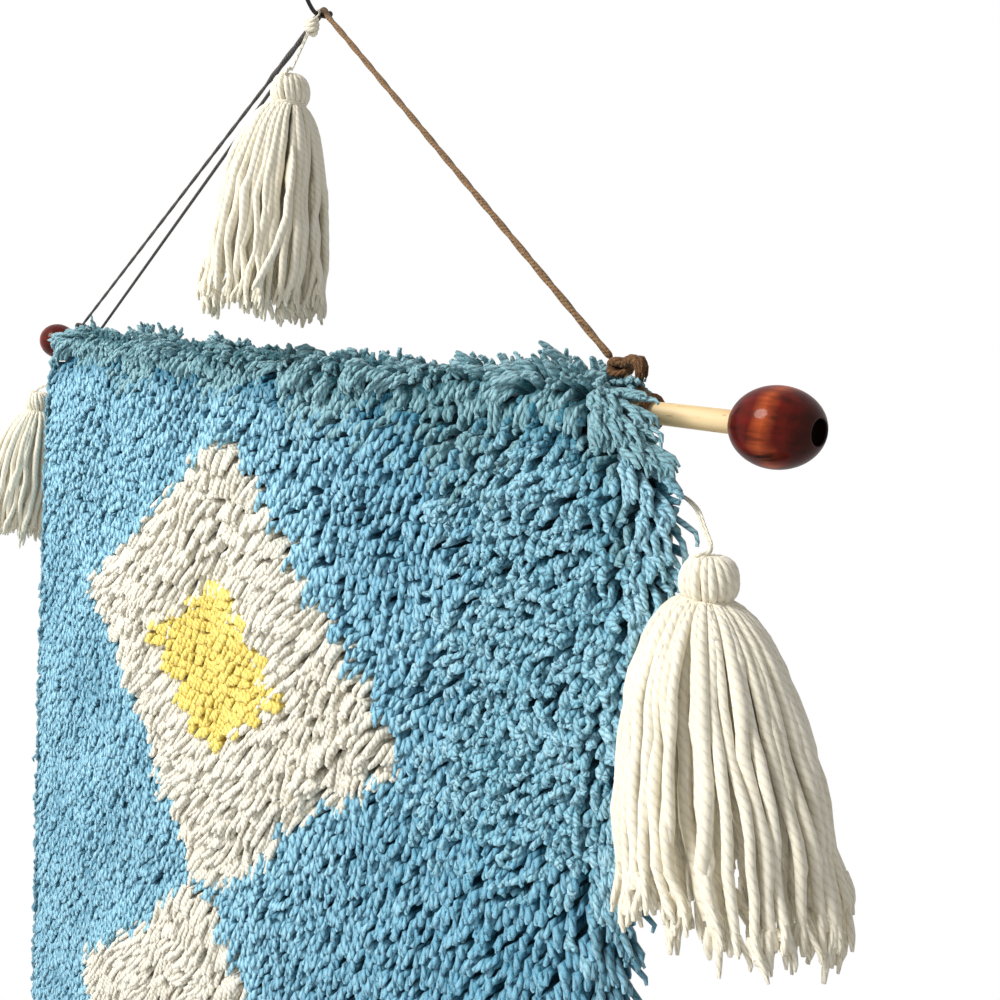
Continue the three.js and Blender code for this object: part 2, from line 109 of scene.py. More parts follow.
def even(rng):
    """A number drawn evenly from -1 to 1."""
    return rng.uniform(-1, 1)


def scatter(rng):
    return Vector((even(rng), even(rng), even(rng)))


def swirl(x, z, scale, seed):
    """Smooth noise over the panel, from about -1 to 1, the same every run."""
    return noise.noise(Vector((x / scale, z / scale, seed))) * 1.6


def circle(count):
    """Angles spaced evenly all the way round."""
    return [2 * pi * k / count for k in range(count)]


def up(rise):
    return Vector((0, 0, rise))


def round_z(angle, wide=1.0, deep=1.0):
    """A place on an upright circle or oval, seen from above, from its middle."""
    return Vector((wide * cos(angle), deep * sin(angle), 0))


def round_y(angle, radius):
    """A place on a circle that faces the wall, from its middle."""
    return Vector((radius * cos(angle), 0, -radius * sin(angle)))


def about(axis, side, angle):
    """The direction side, turned by an angle about an axis square to it."""
    return side * cos(angle) + axis.cross(side) * sin(angle)


def ring_about_x(middle, along, radius, sides):
    turns = circle(sides)
    return [middle + Vector((along, radius * cos(a), radius * sin(a))) for a in turns]


def heading(route, i):
    """The direction of a route at its place i."""
    return (route[min(i + 1, len(route) - 1)] - route[max(i - 1, 0)]).normalized()


def into_scene(name, data):
    made = bpy.data.objects.new(name, data)
    bpy.context.scene.collection.objects.link(made)
    return made


# ------------------------------------------------------------------ nodes


def joining(operation):
    """A method that joins a value to what it is given, by one maths node."""
    return lambda value, *others: maths(value.tree, operation, value, *others)


class Value:
    """A socket of a node tree, so that a sum of nodes is written as it is read."""

    def __init__(self, tree, socket):
        self.tree = tree
        self.socket = socket

    __add__, __sub__, __mul__ = joining("ADD"), joining("SUBTRACT"), joining("MULTIPLY")
    __truediv__, __pow__, __abs__ = joining("DIVIDE"), joining("POWER"), joining("ABSOLUTE")
    least, most, floor = joining("MINIMUM"), joining("MAXIMUM"), joining("FLOOR")
    above, below, ping_pong = joining("GREATER_THAN"), joining("LESS_THAN"), joining("PINGPONG")
    cosine, square_root = joining("COSINE"), joining("SQRT")

    def __rsub__(self, other):
        return maths(self.tree, "SUBTRACT", other, self)

    def within(self, high=1.0):
        """Held between 0 and high."""
        return self.most(0.0).least(high)


def add_node(tree, kind, values=(), **settings):
    """Adds a node. A value is a number or colour for the named socket, or a Value to join to it."""
    made = tree.nodes.new(kind)
    for name, value in settings.items():
        setattr(made, name, value)
    for place, value in dict(values).items():
        if isinstance(value, Value):
            tree.links.new(value.socket, made.inputs[place])
        else:
            made.inputs[place].default_value = value
    return made


def value_of(tree, kind, values=(), output=0, **settings):
    return Value(tree, add_node(tree, kind, values, **settings).outputs[output])


def maths(tree, operation, *values):
    return value_of(tree, "ShaderNodeMath", dict(enumerate(values)), operation=operation)


def vector_maths(operation, first, second):
    return value_of(first.tree, "ShaderNodeVectorMath", {0: first, 1: second}, operation=operation)


def scaled(vector, factor):
    values = {0: vector, "Scale": factor}
    return value_of(vector.tree, "ShaderNodeVectorMath", values, operation="SCALE")


def parts_of(vector):
    """The X, Y and Z of a vector."""
    made = add_node(vector.tree, "ShaderNodeSeparateXYZ", {0: vector})
    return [Value(vector.tree, socket) for socket in made.outputs]


def object_place(tree):
    return value_of(tree, "ShaderNodeTexCoord", output="Object")


def attribute(tree, name, output="Vector"):
    return value_of(tree, "ShaderNodeAttribute", output=output, attribute_name=name)


def mix_shaders(tree, share, first, second):
    return value_of(tree, "ShaderNodeMixShader", {0: share, 1: first, 2: second})


def blend(factor, first, second):
    """From the first colour at 0 to the second at 1."""
    values = {0: factor, 6: first, 7: second}
    return value_of(factor.tree, "ShaderNodeMix", values, 2, data_type="RGBA", clamp_factor=True)


def noise_at(tree, scale, detail=2.0, stretch=(1, 1, 1)):
    """Noise on object coordinates, with about scale grains to the metre."""
    mapped = value_of(tree, "ShaderNodeMapping", {"Vector": object_place(tree), "Scale": stretch})
    values = {"Vector": mapped, "Scale": scale, "Detail": detail}
    return value_of(tree, "ShaderNodeTexNoise", values, "Fac")


def empty_tree(owner):
    owner.use_nodes = True
    owner.node_tree.nodes.clear()
    return owner.node_tree


# ------------------------------------------------------------------ camera and light


def aim_camera():
    """Right of the panel and in front of it, looking back along its face."""
    data = bpy.data.cameras.new("camera")
    data.sensor_width = 36.0
    data.lens = 37.8
    data.clip_end = 20.0
    yaw, pitch, roll = (radians(angle) for angle in (48.59, 7.7, 4.59))
    look = Vector((-sin(yaw) * cos(pitch), cos(yaw) * cos(pitch), -sin(pitch)))
    level = Vector((cos(yaw), sin(yaw), 0))
    upright = level.cross(look)
    right = cos(roll) * level + sin(roll) * upright
    top = cos(roll) * upright - sin(roll) * level
    camera = into_scene("camera", data)
    place = Matrix.Translation(at(0.6242, -0.3358, 0.0176))
    camera.matrix_world = place @ Matrix((right, top, -look)).transposed().to_4x4()
    bpy.context.scene.camera = camera


def add_lamp(name, place, aim, size, power):
    data = bpy.data.lights.new(name, "AREA")
    data.shape = "DISK"
    data.size = size
    data.energy = power
    lamp = into_scene(name, data)
    lamp.location = place
    lamp.rotation_euler = (aim - place).to_track_quat("-Z", "Y").to_euler()


def seen_directly(tree):
    """1 for what the camera sees, straight or in a gloss or through glass, and 0 for other light."""
    path = add_node(tree, "ShaderNodeLightPath")
    kinds = ("Is Camera Ray", "Is Glossy Ray", "Is Transmission Ray")
    straight, gloss, through = (Value(tree, path.outputs[kind]) for kind in kinds)
    return straight.most(gloss).most(through)


def light_world():
    world = bpy.data.worlds.new("studio")
    tree = empty_tree(world)
    around = value_of(tree, "ShaderNodeBackground", {"Color": (0.97, 0.98, 1, 1), "Strength": 0.46})
    behind = value_of(tree, "ShaderNodeBackground", {"Color": (1, 1, 1, 1), "Strength": 1.0})
    mixed = mix_shaders(tree, seen_directly(tree), around, behind)
    add_node(tree, "ShaderNodeOutputWorld", {"Surface": mixed})
    bpy.context.scene.world = world
    bpy.context.scene.view_settings.view_transform = "Standard"


def lay_floor():
    """A white floor below the panel, which fades into the white round it."""
    below = cad_box[0].z - 0.12
    reach = 6.0
    mesh = bpy.data.meshes.new("floor")
    corners = [(-reach, -reach), (reach, -reach), (reach, reach), (-reach, reach)]
    mesh.from_pydata([(x, y, below) for x, y in corners], [], [(0, 1, 2, 3)])
    floor = into_scene("floor", mesh)
    material = bpy.data.materials.new("floor_white")
    tree = empty_tree(material)
    matt = value_of(tree, "ShaderNodeBsdfDiffuse", {"Color": (0.9, 0.9, 0.9, 1)})
    white = value_of(tree, "ShaderNodeEmission", {"Color": (1, 1, 1, 1), "Strength": 1.0})
    away = value_of(tree, "ShaderNodeVectorMath", {0: object_place(tree)}, "Value", operation="LENGTH")
    limits = {"Value": away, "From Min": 0.25, "From Max": 1.6, "To Min": 0.72, "To Max": 1.0}
    blank = value_of(tree, "ShaderNodeMapRange", limits, interpolation_type="SMOOTHSTEP")
    mixed = mix_shaders(tree, seen_directly(tree) * blank, matt, white)
    add_node(tree, "ShaderNodeOutputMaterial", {"Surface": mixed})
    mesh.materials.append(material)


# ------------------------------------------------------------------ materials


def srgb(red, green, blue):
    """A colour given in 0 to 255 as it looks on a screen."""
    parts = [part / 255 for part in (red, green, blue)]
    return (*[part / 12.92 if part <= 0.04045 else ((part + 0.055) / 1.055) ** 2.4 for part in parts], 1)


def tones(*colours):
    return [srgb(*colour) for colour in colours]


def new_surface(name, roughness, specular=0.5, sheen=0.0, coat=0.0):
    """A material with its Principled shader, of which the constant values are set here."""
    material = bpy.data.materials.new(name)
    material.use_nodes = True
    surface = material.node_tree.nodes["Principled BSDF"]
    surface.inputs["Roughness"].default_value = roughness
    surface.inputs["Specular IOR Level"].default_value = specular
    surface.inputs["Sheen Weight"].default_value = sheen
    surface.inputs["Coat Weight"].default_value = coat
    return material, material.node_tree, surface


def paint(surface, colour, height, relief):
    """Gives a surface its colour, and a bump of that relief from the height."""
    tree = colour.tree
    tree.links.new(colour.socket, surface.inputs["Base Color"])
    bump = add_node(tree, "ShaderNodeBump", {"Height": height, "Distance": relief, "Strength": 1.0})
    tree.links.new(bump.outputs[0], surface.inputs["Normal"])


def ply_height(tree, plies, pitch):
    """Round ridges of the plies that twist along a strand, from 0 in a groove to 1 on a ridge, with
    the strand's shade and the way along it."""
    across, over, _ = parts_of(attribute(tree, "ring"))
    shade, phase, _ = parts_of(attribute(tree, "strand"))
    along = attribute(tree, "along", "Fac")
    start = phase * pi + along * (pi * plies / pitch)
    turned = maths(tree, "ARCTAN2", over, across) * (plies / 2) + start
    return abs(turned.cosine()), shade, along


def yarn_material(name, yarn, plies, pitch, relief, roughness=0.7, sheen=0.25, root=0.0, sharp=0.45):
    """Plied yarn. yarn has the tones of its groove, in painted shade, its body, the top of a ply, as a
    painted highlight, and near its root, in painted shade. root is the length over which it is in the
    shade of the yarn round it."""
    material, tree, surface = new_surface(name, roughness, specular=0.35, sheen=sheen)
    ridge, shade, along = ply_height(tree, plies, pitch)
    fibres = noise_at(tree, 1500, detail=3)
    patches = noise_at(tree, 55)
    body = blend(shade * 0.8, yarn[1], yarn[2])
    # Painted shade in the grooves between the plies.
    grooved = blend(ridge**sharp, yarn[0], body)
    # Painted highlights: fine flecks of the tone of a ply's top.
    highlighted = blend(fibres * 2.6 - 1.15, grooved, yarn[2])
    colour = blend(patches * 0.9 - 0.32, highlighted, yarn[2])
    # Painted shade: the yarn darkens towards its root.
    if root:
        buried = (1.0 - along / root) * 2.2
        colour = blend(buried.within(), colour, yarn[3])
    paint(surface, colour, fibres * 0.5 + ridge**0.7, relief)
    return material


# ------------------------------------------------------------------ strands of yarn


# How a strand is made unless it is told otherwise: its segments crowd towards its root, start and end
# are how thick it is there, as shares, and it wanders, with so many waves to the metre.
STRAND_SHAPE = {
    "segments": 3, "sides": 4, "crowding": 1.7, "start": 1.0, "end": 0.5, "wander": 0.0,
    "wander_at_root": 0.0, "wander_scale": 30.0,
}


def strand_tree():
    """Turns each point into a strand of yarn. A point has the two handles and the end of the strand's
    curve, from the point, and the strand's thickness."""
    tree = bpy.data.node_groups.new("strands", "GeometryNodeTree")
    kinds = {name: "Int" if isinstance(value, int) else "Float" for name, value in STRAND_SHAPE.items()}
    for name, kind in ({"points": "Geometry", "material": "Material"} | kinds).items():
        tree.interface.new_socket(name, in_out="INPUT", socket_type=f"NodeSocket{kind}")
    tree.interface.new_socket("strands", in_out="OUTPUT", socket_type="NodeSocketGeometry")
    given = {place.name: Value(tree, place) for place in tree.nodes.new("NodeGroupInput").outputs}

    def made(kind, values=(), output=0, **settings):
        return value_of(tree, kind, values, output, **settings)

    def named(name, kind="FLOAT_VECTOR"):
        return made("GeometryNodeInputNamedAttribute", {"Name": name}, data_type=kind)

    def moved(curves, offset):
        return made("GeometryNodeSetPosition", {"Geometry": curves, "Offset": offset})

    def kept(curves, name, value, kind):
        values = {"Geometry": curves, "Name": name, "Value": value}
        return made("GeometryNodeStoreNamedAttribute", values, data_type=kind, domain="POINT")

    points = made("GeometryNodeMeshToPoints", {"Mesh": given["points"]})
    line = made("GeometryNodeCurvePrimitiveLine", {"Start": (0, 0, 0), "End": (0, 0, 1)})
    count = given["segments"] + 1.0
    spaced = made("GeometryNodeResampleCurve", {"Curve": line, "Count": count})
    placed = made("GeometryNodeInstanceOnPoints", {"Points": points, "Instance": spaced})
    lines = made("GeometryNodeRealizeInstances", {0: placed})

    share = made("GeometryNodeSplineParameter", output="Factor")
    left = (1.0 - share) ** given["crowding"]
    done = 1.0 - left
    bow = scaled(named("handle_a"), left * left * done * 3.0)
    bow = vector_maths("ADD", bow, scaled(named("handle_b"), done * done * left * 3.0))
    bow = vector_maths("ADD", bow, scaled(named("end"), done**3.0))
    rise = made("ShaderNodeCombineXYZ", {2: share * -1.0})
    shaped = moved(lines, vector_maths("ADD", rise, bow))

    place = made("GeometryNodeInputPosition")
    own = vector_maths("ADD", place, scaled(named("strand"), 0.035))
    stray = {"Vector": own, "Scale": given["wander_scale"], "Detail": 1.0}
    centred = vector_maths("SUBTRACT", made("ShaderNodeTexNoise", stray, "Color"), (0.5, 0.5, 0.5))
    at_root = given["wander_at_root"]
    loose = (1.0 - at_root) * share + at_root
    wandered = moved(shaped, scaled(centred, loose * given["wander"]))
    length = made("GeometryNodeSplineParameter", output="Length")
    measured = kept(wandered, "along", length, "FLOAT")

    section = made("GeometryNodeCurvePrimitiveCircle", {"Resolution": given["sides"], "Radius": 1.0})
    around = kept(section, "ring", made("GeometryNodeInputPosition"), "FLOAT_VECTOR")
    end_loss = share**6.0 * (1.0 - given["end"])
    root_loss = (1.0 - share) ** 8.0 * (1.0 - given["start"])
    slub = made("ShaderNodeTexNoise", {"Vector": own, "Scale": 110.0, "Detail": 1.0}, "Fac")
    fullness = (1.0 - end_loss - root_loss) * (slub * 0.7 + 0.65)
    radius = named("thick", "FLOAT") * fullness * 0.5
    tube = {"Curve": measured, "Profile Curve": around, "Scale": radius, "Fill Caps": True}
    smooth = made("GeometryNodeSetShadeSmooth", {"Geometry": made("GeometryNodeCurveToMesh", tube)})
    whole = made("GeometryNodeRealizeInstances", {0: smooth})
    coloured = made("GeometryNodeSetMaterial", {"Geometry": whole, "Material": given["material"]})
    add_node(tree, "NodeGroupOutput", {0: coloured})
    return tree


STRANDS = strand_tree()


def settled(name, source, inputs):
    """The plain mesh that the strand tree makes of a mesh of points, as a new object."""
    holder = into_scene(name + "_source", source)
    modifier = holder.modifiers.new("made", "NODES")
    modifier.node_group = STRANDS
    for item in STRANDS.interface.items_tree:
        if item.in_out == "INPUT" and item.name in inputs:
            modifier[item.identifier] = inputs[item.name]
    bpy.context.view_layer.update()
    depsgraph = bpy.context.evaluated_depsgraph_get()
    mesh = bpy.data.meshes.new_from_object(holder.evaluated_get(depsgraph), depsgraph=depsgraph)
    bpy.data.objects.remove(holder)
    mesh.name = name
    return into_scene(name, mesh)


def keep(mesh, name, values, kind="FLOAT_VECTOR"):
    """Keeps a number, or the three parts of a vector, for each vertex."""
    made = mesh.attributes.new(name, kind, "POINT")
    made.data.foreach_set("value" if kind == "FLOAT" else "vector", values)


def make_strands(name, strands, material, slot, **shape):
    points = bpy.data.meshes.new(name)
    points.from_pydata([strand["root"] for strand in strands], [], [])
    for key in ("handle_a", "handle_b", "end", "strand"):
        keep(points, key, [part for strand in strands for part in strand[key]])
    keep(points, "thick", [strand["thick"] for strand in strands], "FLOAT")
    piece = settled(name, points, STRAND_SHAPE | shape | {"material": material})
    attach(piece, "root")
    return piece


def strand(root, handle_a, handle_b, end, thick, shade, phase):
    """A strand from root to end. The handles and the end are places, and are kept from the root."""
    return {
        "root": root, "handle_a": handle_a - root, "handle_b": handle_b - root, "end": end - root,
        "thick": thick, "strand": (shade, phase, 0.0),
    }


# ------------------------------------------------------------------ solid pieces and cords


def mesh_piece(name, places, faces, material):
    mesh = bpy.data.meshes.new(name)
    mesh.from_pydata(places, [], faces)
    mesh.materials.append(material)
    mesh.update()
    mesh.shade_smooth()
    piece = into_scene(name, mesh)
    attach(piece, "root")
    return piece


def bands(rings, around, closed=False):
    """The faces between each ring of places and the next, and from the last to the first if closed."""
    faces = []
    for i in range(rings - 1 + closed):
        base, above = i * around, (i + 1) % rings * around
        for k in range(around):
            after = (k + 1) % around
            faces.append((base + k, base + after, above + after, above + k))
    return faces


def rounded(name, rows, material, closed=False):
    """A closed surface over rings of places, one list for each ring. Its two ends are filled, or meet."""
    around = len(rows[0])
    faces = bands(len(rows), around, closed)
    last = (len(rows) - 1) * around
    if not closed:
        faces += [tuple(reversed(range(around))), tuple(range(last, last + around))]
    return mesh_piece(name, [place for row in rows for place in row], faces, material)


def ball(name, middle, radius, half_height, steps, sides, material):
    """A ball, or an egg, of rings from its foot to its top."""
    rows = []
    for i in range(1, steps):
        polar = pi * i / steps
        wide = radius * sin(polar)
        level = middle - up(half_height * cos(polar))
        rows.append([level + round_z(angle, wide, wide) for angle in circle(sides)])
    return rounded(name, rows, material)


def joined(name, pieces):
    """Several pieces as one mesh, under a new name. They keep their attributes and materials."""
    chosen = {"selected_editable_objects": pieces, "selected_objects": pieces}
    with bpy.context.temp_override(active_object=pieces[0], **chosen):
        bpy.ops.object.join()
    pieces[0].name = name
    pieces[0].data.name = name
    return pieces[0]


def smooth_route(points, step):
    """Places a step apart on a smooth curve through the points."""
    line = [Vector(p) for p in points]
    line = [2 * line[0] - line[1], *line, 2 * line[-1] - line[-2]]
    fine = []
    for i in range(1, len(line) - 2):
        four = line[i - 1 : i + 3]
        knots = [0.0]
        for a, b in zip(four, four[1:]):
            knots.append(knots[-1] + max((b - a).length, 1e-6) ** 0.5)
        count = max(2, math.ceil((four[2] - four[1]).length / step * 4))
        for k in range(count):
            t = knots[1] + (knots[2] - knots[1]) * k / count
            layer = four
            for apart in (1, 2):
                spans = zip(layer, layer[1:], knots, knots[apart:])
                layer = [a.lerp(b, (t - low) / (high - low)) for a, b, low, high in spans]
            fine.append(layer[0].lerp(layer[1], (t - knots[1]) / (knots[2] - knots[1])))
    fine.append(line[-2])
    return spaced_evenly(fine, step)


def spaced_evenly(line, step):
    lengths = lengths_along(line)
    count = max(2, round(lengths[-1] / step))
    route, i = [], 0
    for k in range(count + 1):
        target = lengths[-1] * k / count
        while i < len(line) - 2 and lengths[i + 1] < target:
            i += 1
        span = max(lengths[i + 1] - lengths[i], 1e-9)
        route.append(line[i].lerp(line[i + 1], (target - lengths[i]) / span))
    return route


def lengths_along(line):
    """The way along a line to each of its places."""
    lengths = [0.0]
    for a, b in zip(line, line[1:]):
        lengths.append(lengths[-1] + (b - a).length)
    return lengths


def rope(name, points, diameter, material, slot, plies=3, pitch=0.009, depth=0.16, sides=10, step=0.001):
    """A twisted cord: its section has one lobe for each ply and turns once in each pitch. The
    diameter is a number, or a rule that gives it at each place."""
    route = smooth_route(points, step)
    lengths = lengths_along(route)
    side = heading(route, 0).orthogonal().normalized()
    rows = []
    for i, (middle, passed) in enumerate(zip(route, lengths)):
        tangent = heading(route, i)
        side = (side - tangent * side.dot(tangent)).normalized()
        end = min(i, len(route) - 1 - i)
        closing = (0.55, 0.88)[end] if end < 2 else 1.0
        wide = diameter(middle) if callable(diameter) else diameter
        row = []
        for angle in circle(sides):
            lobe = abs(cos((plies * angle + 2 * pi * plies * passed / pitch) / 2))
            radius = wide / 2 * closing * (1 - depth * (1 - lobe))
            row.append(middle + about(tangent, side, angle) * radius)
        rows.append(row)
    piece = rounded(name, rows, material)
    keep(piece.data, "ring", [part for angle in circle(sides) for part in round_z(angle)] * len(route))
    keep(piece.data, "along", [passed for passed in lengths for _ in range(sides)], "FLOAT")
    keep(piece.data, "strand", [0.5, 0.0, 0.0] * sides * len(route))
    return piece, route


# ------------------------------------------------------------------ hanger cord and its knots

# Painted shade in the groove between two plies, the cord, and painted highlights on its high spots.
CORD_TONES = tones((40, 27, 16), (116, 84, 54), (168, 132, 92))
# The same three for the cord left of the hook, darker and greyer: painted shade.
SHADED_CORD_TONES = tones((52, 48, 46), (80, 75, 72), (106, 100, 96))
CORD_TWIST = 0.04

RIGHT_END = (0.3111, -0.0029, 0.0214)
LEFT_END = (-0.3214, -0.0039, 0.0177)
OVER_HOOK = [
    (0.0519, 0.0025, 0.2096), (0.049, 0.0026, 0.2128), (0.047, 0.0026, 0.21335),
    (0.045, 0.0026, 0.21295), (0.0417, 0.0025, 0.2103),
]
PARTING = (-0.0128, 0.0015, 0.1814)
RETURN_START = (-0.3335, 0.0093, 0.0038)
RETURN_END = (-0.0162, 0.0065, 0.1793)
JOIN_KNOT = (-0.0128, 0.0065, 0.1814)
TURNS_ACROSS = 0.3327


def leg(start, end, count):
    """Places along a straight leg, without its far end."""
    return [start.lerp(end, i / count) for i in range(count)]


def cord_material():
    """Brown cord on the right of the hook, which runs into painted shade, dark grey-brown, on the left of
    it.
    """
    material, tree, surface = new_surface("twisted_cord", 0.8, specular=0.2, sheen=0.1)
    ridge, _, _ = ply_height(tree, 3, 0.0078)
    pair, _, _ = ply_height(tree, 2, CORD_TWIST)
    fibres = noise_at(tree, 1300, detail=4)
    across, _, _ = parts_of(object_place(tree))
    brown = ((across - (at(HOOK_ACROSS, 0, 0).x - 0.012)) / 0.022).within()
    at_knot = ((across - at(0.305, 0, 0).x) / 0.01).within()
    groove, body, high = (blend(brown, dark, warm) for dark, warm in zip(SHADED_CORD_TONES, CORD_TONES))
    spotted = fibres * 2.6 - 0.9
    # Painted highlights: lighter spots on the plies, with painted shade in the grooves.
    highlighted = blend(spotted, blend(ridge**0.6 * pair**0.9, groove, body), high)
    # Darker brown near the knot at the dowel's right end, flecked lighter.
    knot_brown = blend(spotted, srgb(62, 36, 16), srgb(134, 88, 44))
    paint(surface, blend(at_knot * 0.75, highlighted, knot_brown), fibres * 0.9 + ridge, 0.0004)
    return material


def hanger_cords(material):
    seat = [at(*place) for place in OVER_HOOK]
    left = at(*LEFT_END)
    points = [*leg(at(*RIGHT_END), seat[0], 12), *seat[:-1], *leg(seat[-1], left, 14), left]
    parting = at(*PARTING)

    def width(place):
        """Two strands twisted together down to the parting, and one from there on."""
        single = smoothstep(parting.x - place.x, -0.004, 0.004)
        return CORD_DIAMETER * 1.1 * (1 - single) + STRAND_DIAMETER * single

    hanger, route = rope(
        "hanger_cord_twisted", points, width, material, "cord", plies=2, pitch=CORD_TWIST, depth=0.26,
        sides=12, step=0.0015
    )
    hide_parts("hanger_cord")
    back = [*leg(at(*RETURN_START), at(*RETURN_END), 16), at(*RETURN_END)]
    second, second_route = rope(
        "return_cord_strand", back, STRAND_DIAMETER, material, "cord", sides=8, step=0.0015
    )
    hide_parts("return_cord")
    return hanger, route, second, second_route


def turns_about_dowel(side):
    """Two turns of the cord round the dowel, at its right for side 1 and its left for side -1."""
    radius = DOWEL_RADIUS + GAP + CORD_DIAMETER / 2
    steps = 30
    turns = []
    for k in range(steps + 1):
        angle = radians(60 + 720 * k / steps)
        across = side * (TURNS_ACROSS + 0.0031 * k / steps)
        turns.append(at(across, -radius * cos(angle), radius * sin(angle)))
    return turns


def lump(centre, radii, turns):
    """A cord wound close upon itself in a knot of that half size."""
    x, y, z = centre
    wide, deep, tall = (radius - CORD_DIAMETER / 2 for radius in radii)
    steps = int(turns * 10)
    places = []
    for k in range(steps + 1):
        angle = 2 * pi * turns * k / steps
        across = wide * cos(angle) * cos(0.35 * angle)
        places.append(at(x + across, y + deep * sin(0.62 * angle + 0.8), z + tall * sin(angle)))
    return places


def knot_pieces(material):
    right = [
        *turns_about_dowel(1),
        at(0.334, -0.004, 0.0072), at(0.327, -0.003, 0.0108), at(0.3215, -0.003, 0.014),
        *lump((0.3168, -0.003, 0.0173), (0.0064, 0.0042, 0.0042), 4.3),
        at(0.32, -0.0052, 0.019), at(0.3262, -0.006, 0.0212), at(0.3312, -0.0065, 0.0192),
        at(0.333, -0.007, 0.014),
    ]
    left = [
        *turns_about_dowel(-1),
        at(-0.334, -0.0046, 0.0085), at(-0.331, -0.004, 0.012),
        *lump((-0.3272, -0.004, 0.0146), (0.0058, 0.004, 0.004), 4.3),
    ]
    join = lump(JOIN_KNOT, (0.0032, 0.0029, 0.0032), 2.2)
    made = []

    def untwisting(place):
        """The cord's free end swells where its strands come apart."""
        return CORD_DIAMETER + 0.0016 * smoothstep(place.z, at(0, 0, 0.0185).z, at(0, 0, 0.0205).z)

    for name, points, thick, node in (
        ("knot_right_wound", right, untwisting, "knot_right"),
        ("knot_left_wound", left, CORD_DIAMETER, "knot_left"),
        ("knot_join_wound", join, STRAND_DIAMETER, "knot_join"),
    ):
        piece, _ = rope(name, points, thick, material, "cord", sides=9)
        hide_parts(node)
        made.append(piece)
    rng = random.Random(8)
    frays = []
    for _ in range(64):
        spread = scatter(rng)
        root = at(0.3285, -0.0062, 0.0212) + spread * 0.0012
        tip = at(0.333, -0.0074, 0.0142) + spread * 0.0018
        handle_a = root + Vector((0.003, 0, 0.0006)) + spread * 0.0012
        handle_b = at(0.334, -0.007, 0.0175) + spread * 0.0022
        frays.append(strand(root, handle_a, handle_b, tip, 0.0012, rng.random(), rng.random()))
    made.append(
        make_strands("knot_right_frayed_end", frays, material, "cord", segments=4, crowding=1.2, end=0.4)
    )
    return made


# ------------------------------------------------------------------ tassel ties

TIE_THREAD = 0.0011
SIDE_TIES = {
    "right": [
        (0.3834, -0.0148, -0.0467), (0.376, -0.011, -0.041), (0.366, -0.004, -0.0355),
        (0.356, -0.0009, -0.032), (0.346, -0.0013, -0.0305),
    ],
    "left": [
        (-0.3854, -0.0198, -0.0439), (-0.377, -0.013, -0.039), (-0.366, -0.0045, -0.035),
        (-0.356, -0.0009, -0.032), (-0.346, -0.0013, -0.0305),
    ],
}
TOP_TIE = [(0.0471, -0.0162, 0.1751), (0.0474, -0.0125, 0.185), (0.0473, -0.0071, 0.1982)]
TOP_KNOT = (0.0473, -0.0044, 0.2024)


def thread(name, points, diameter, material, pitch, **settings):
    """Two plies of the tassels' yarn."""
    return rope(name, points, diameter, material, "tassel_yarn", plies=2, pitch=pitch, **settings)


def twin_threads(name, points, material, twist):
    """Two threads side by side along one route, which turn slowly about each other."""
    route = smooth_route([at(*p) for p in points], 0.003)
    threads = []
    for half in (0, 1):
        places = []
        for i, middle in enumerate(route):
            ahead = heading(route, i)
            side = ahead.cross(Vector((0.3, 0.9, 0.1))).normalized()
            angle = pi * half + twist * i / len(route)
            places.append(middle + about(ahead, side, angle) * TIE_THREAD / 2)
        threads.append(thread(f"{name}_{half}", places, TIE_THREAD, material, 0.004, sides=6)[0])
    return joined(name, threads), route


def tie_end(name, start, crown, end, material):
    """The tie goes on a little over the crown of the head, and in between its strands."""
    points = smooth_route([at(*start), at(*crown), at(*end)], 0.001)
    thread(f"tie_{name}_end", points, 0.0021, material, 0.006, sides=8)


def side_tie(side, material):
    piece, route = twin_threads(f"tie_{side}_threads", SIDE_TIES[side], material, 2.2)
    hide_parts(f"tassel_{side}_tie")
    x, y, z = TASSELS[side]["head"]
    crown = (x - 0.0004, y - 0.0018, z + 0.0086)
    tie_end(side, SIDE_TIES[side][0], crown, (x - 0.0022, y - 0.007, z + 0.0074), material)


def loop_route():
    """Up from the knot on one side of the hook's wire, over it and down on the other."""
    reach = HOOK_WIRE / 2 + GAP + 0.0006
    x, y, z = HOOK_ACROSS, -0.0012, 0.21
    return [
        (x - reach + 0.0006, -0.0036, z - 0.0027), (x - reach - 0.00015, y - 0.0005, z - 0.0006),
        (x - reach * 0.78, y, z + reach * 0.72), (x, y, z + reach + 0.00012),
        (x + reach * 0.78, y, z + reach * 0.72), (x + reach + 0.00015, y - 0.0005, z - 0.0006),
        (x + reach - 0.0006, -0.0036, z - 0.0027),
    ]


def top_ties(material):
    tie, _ = twin_threads("tie_top_threads", TOP_TIE, material, 1.2)
    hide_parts("tassel_top_tie")
    tie_end("top", TOP_TIE[0], (0.0508, -0.0205, 0.1742), (0.0536, -0.0243, 0.1696), material)
    over_wire = [at(*p) for p in loop_route()]
    loop, _ = thread("loop_top_thread", over_wire, 0.0012, material, 0.004, sides=7, step=0.0006)
    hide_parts("tassel_top_loop")
    x, y, z = TOP_KNOT
    steps = 33
    wound = []
    for k in range(steps + 1):
        angle = 2 * pi * 3.4 * k / steps
        rise = -0.0042 + 0.008 * k / steps
        width = sqrt(max(1 - (rise / 0.0058) ** 2, 0.12))
        across = x + 0.0036 * width * cos(angle)
        back = y - 0.0004 + 0.003 * width * sin(angle)
        wound.append(at(across, back, z + rise + 0.0007 * sin(2 * angle)))
    knot, _ = thread("knot_top_wound", wound, 0.003, material, 0.008, sides=8)
    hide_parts("tassel_top_knot")


# ------------------------------------------------------------------ hook, dowel and beads

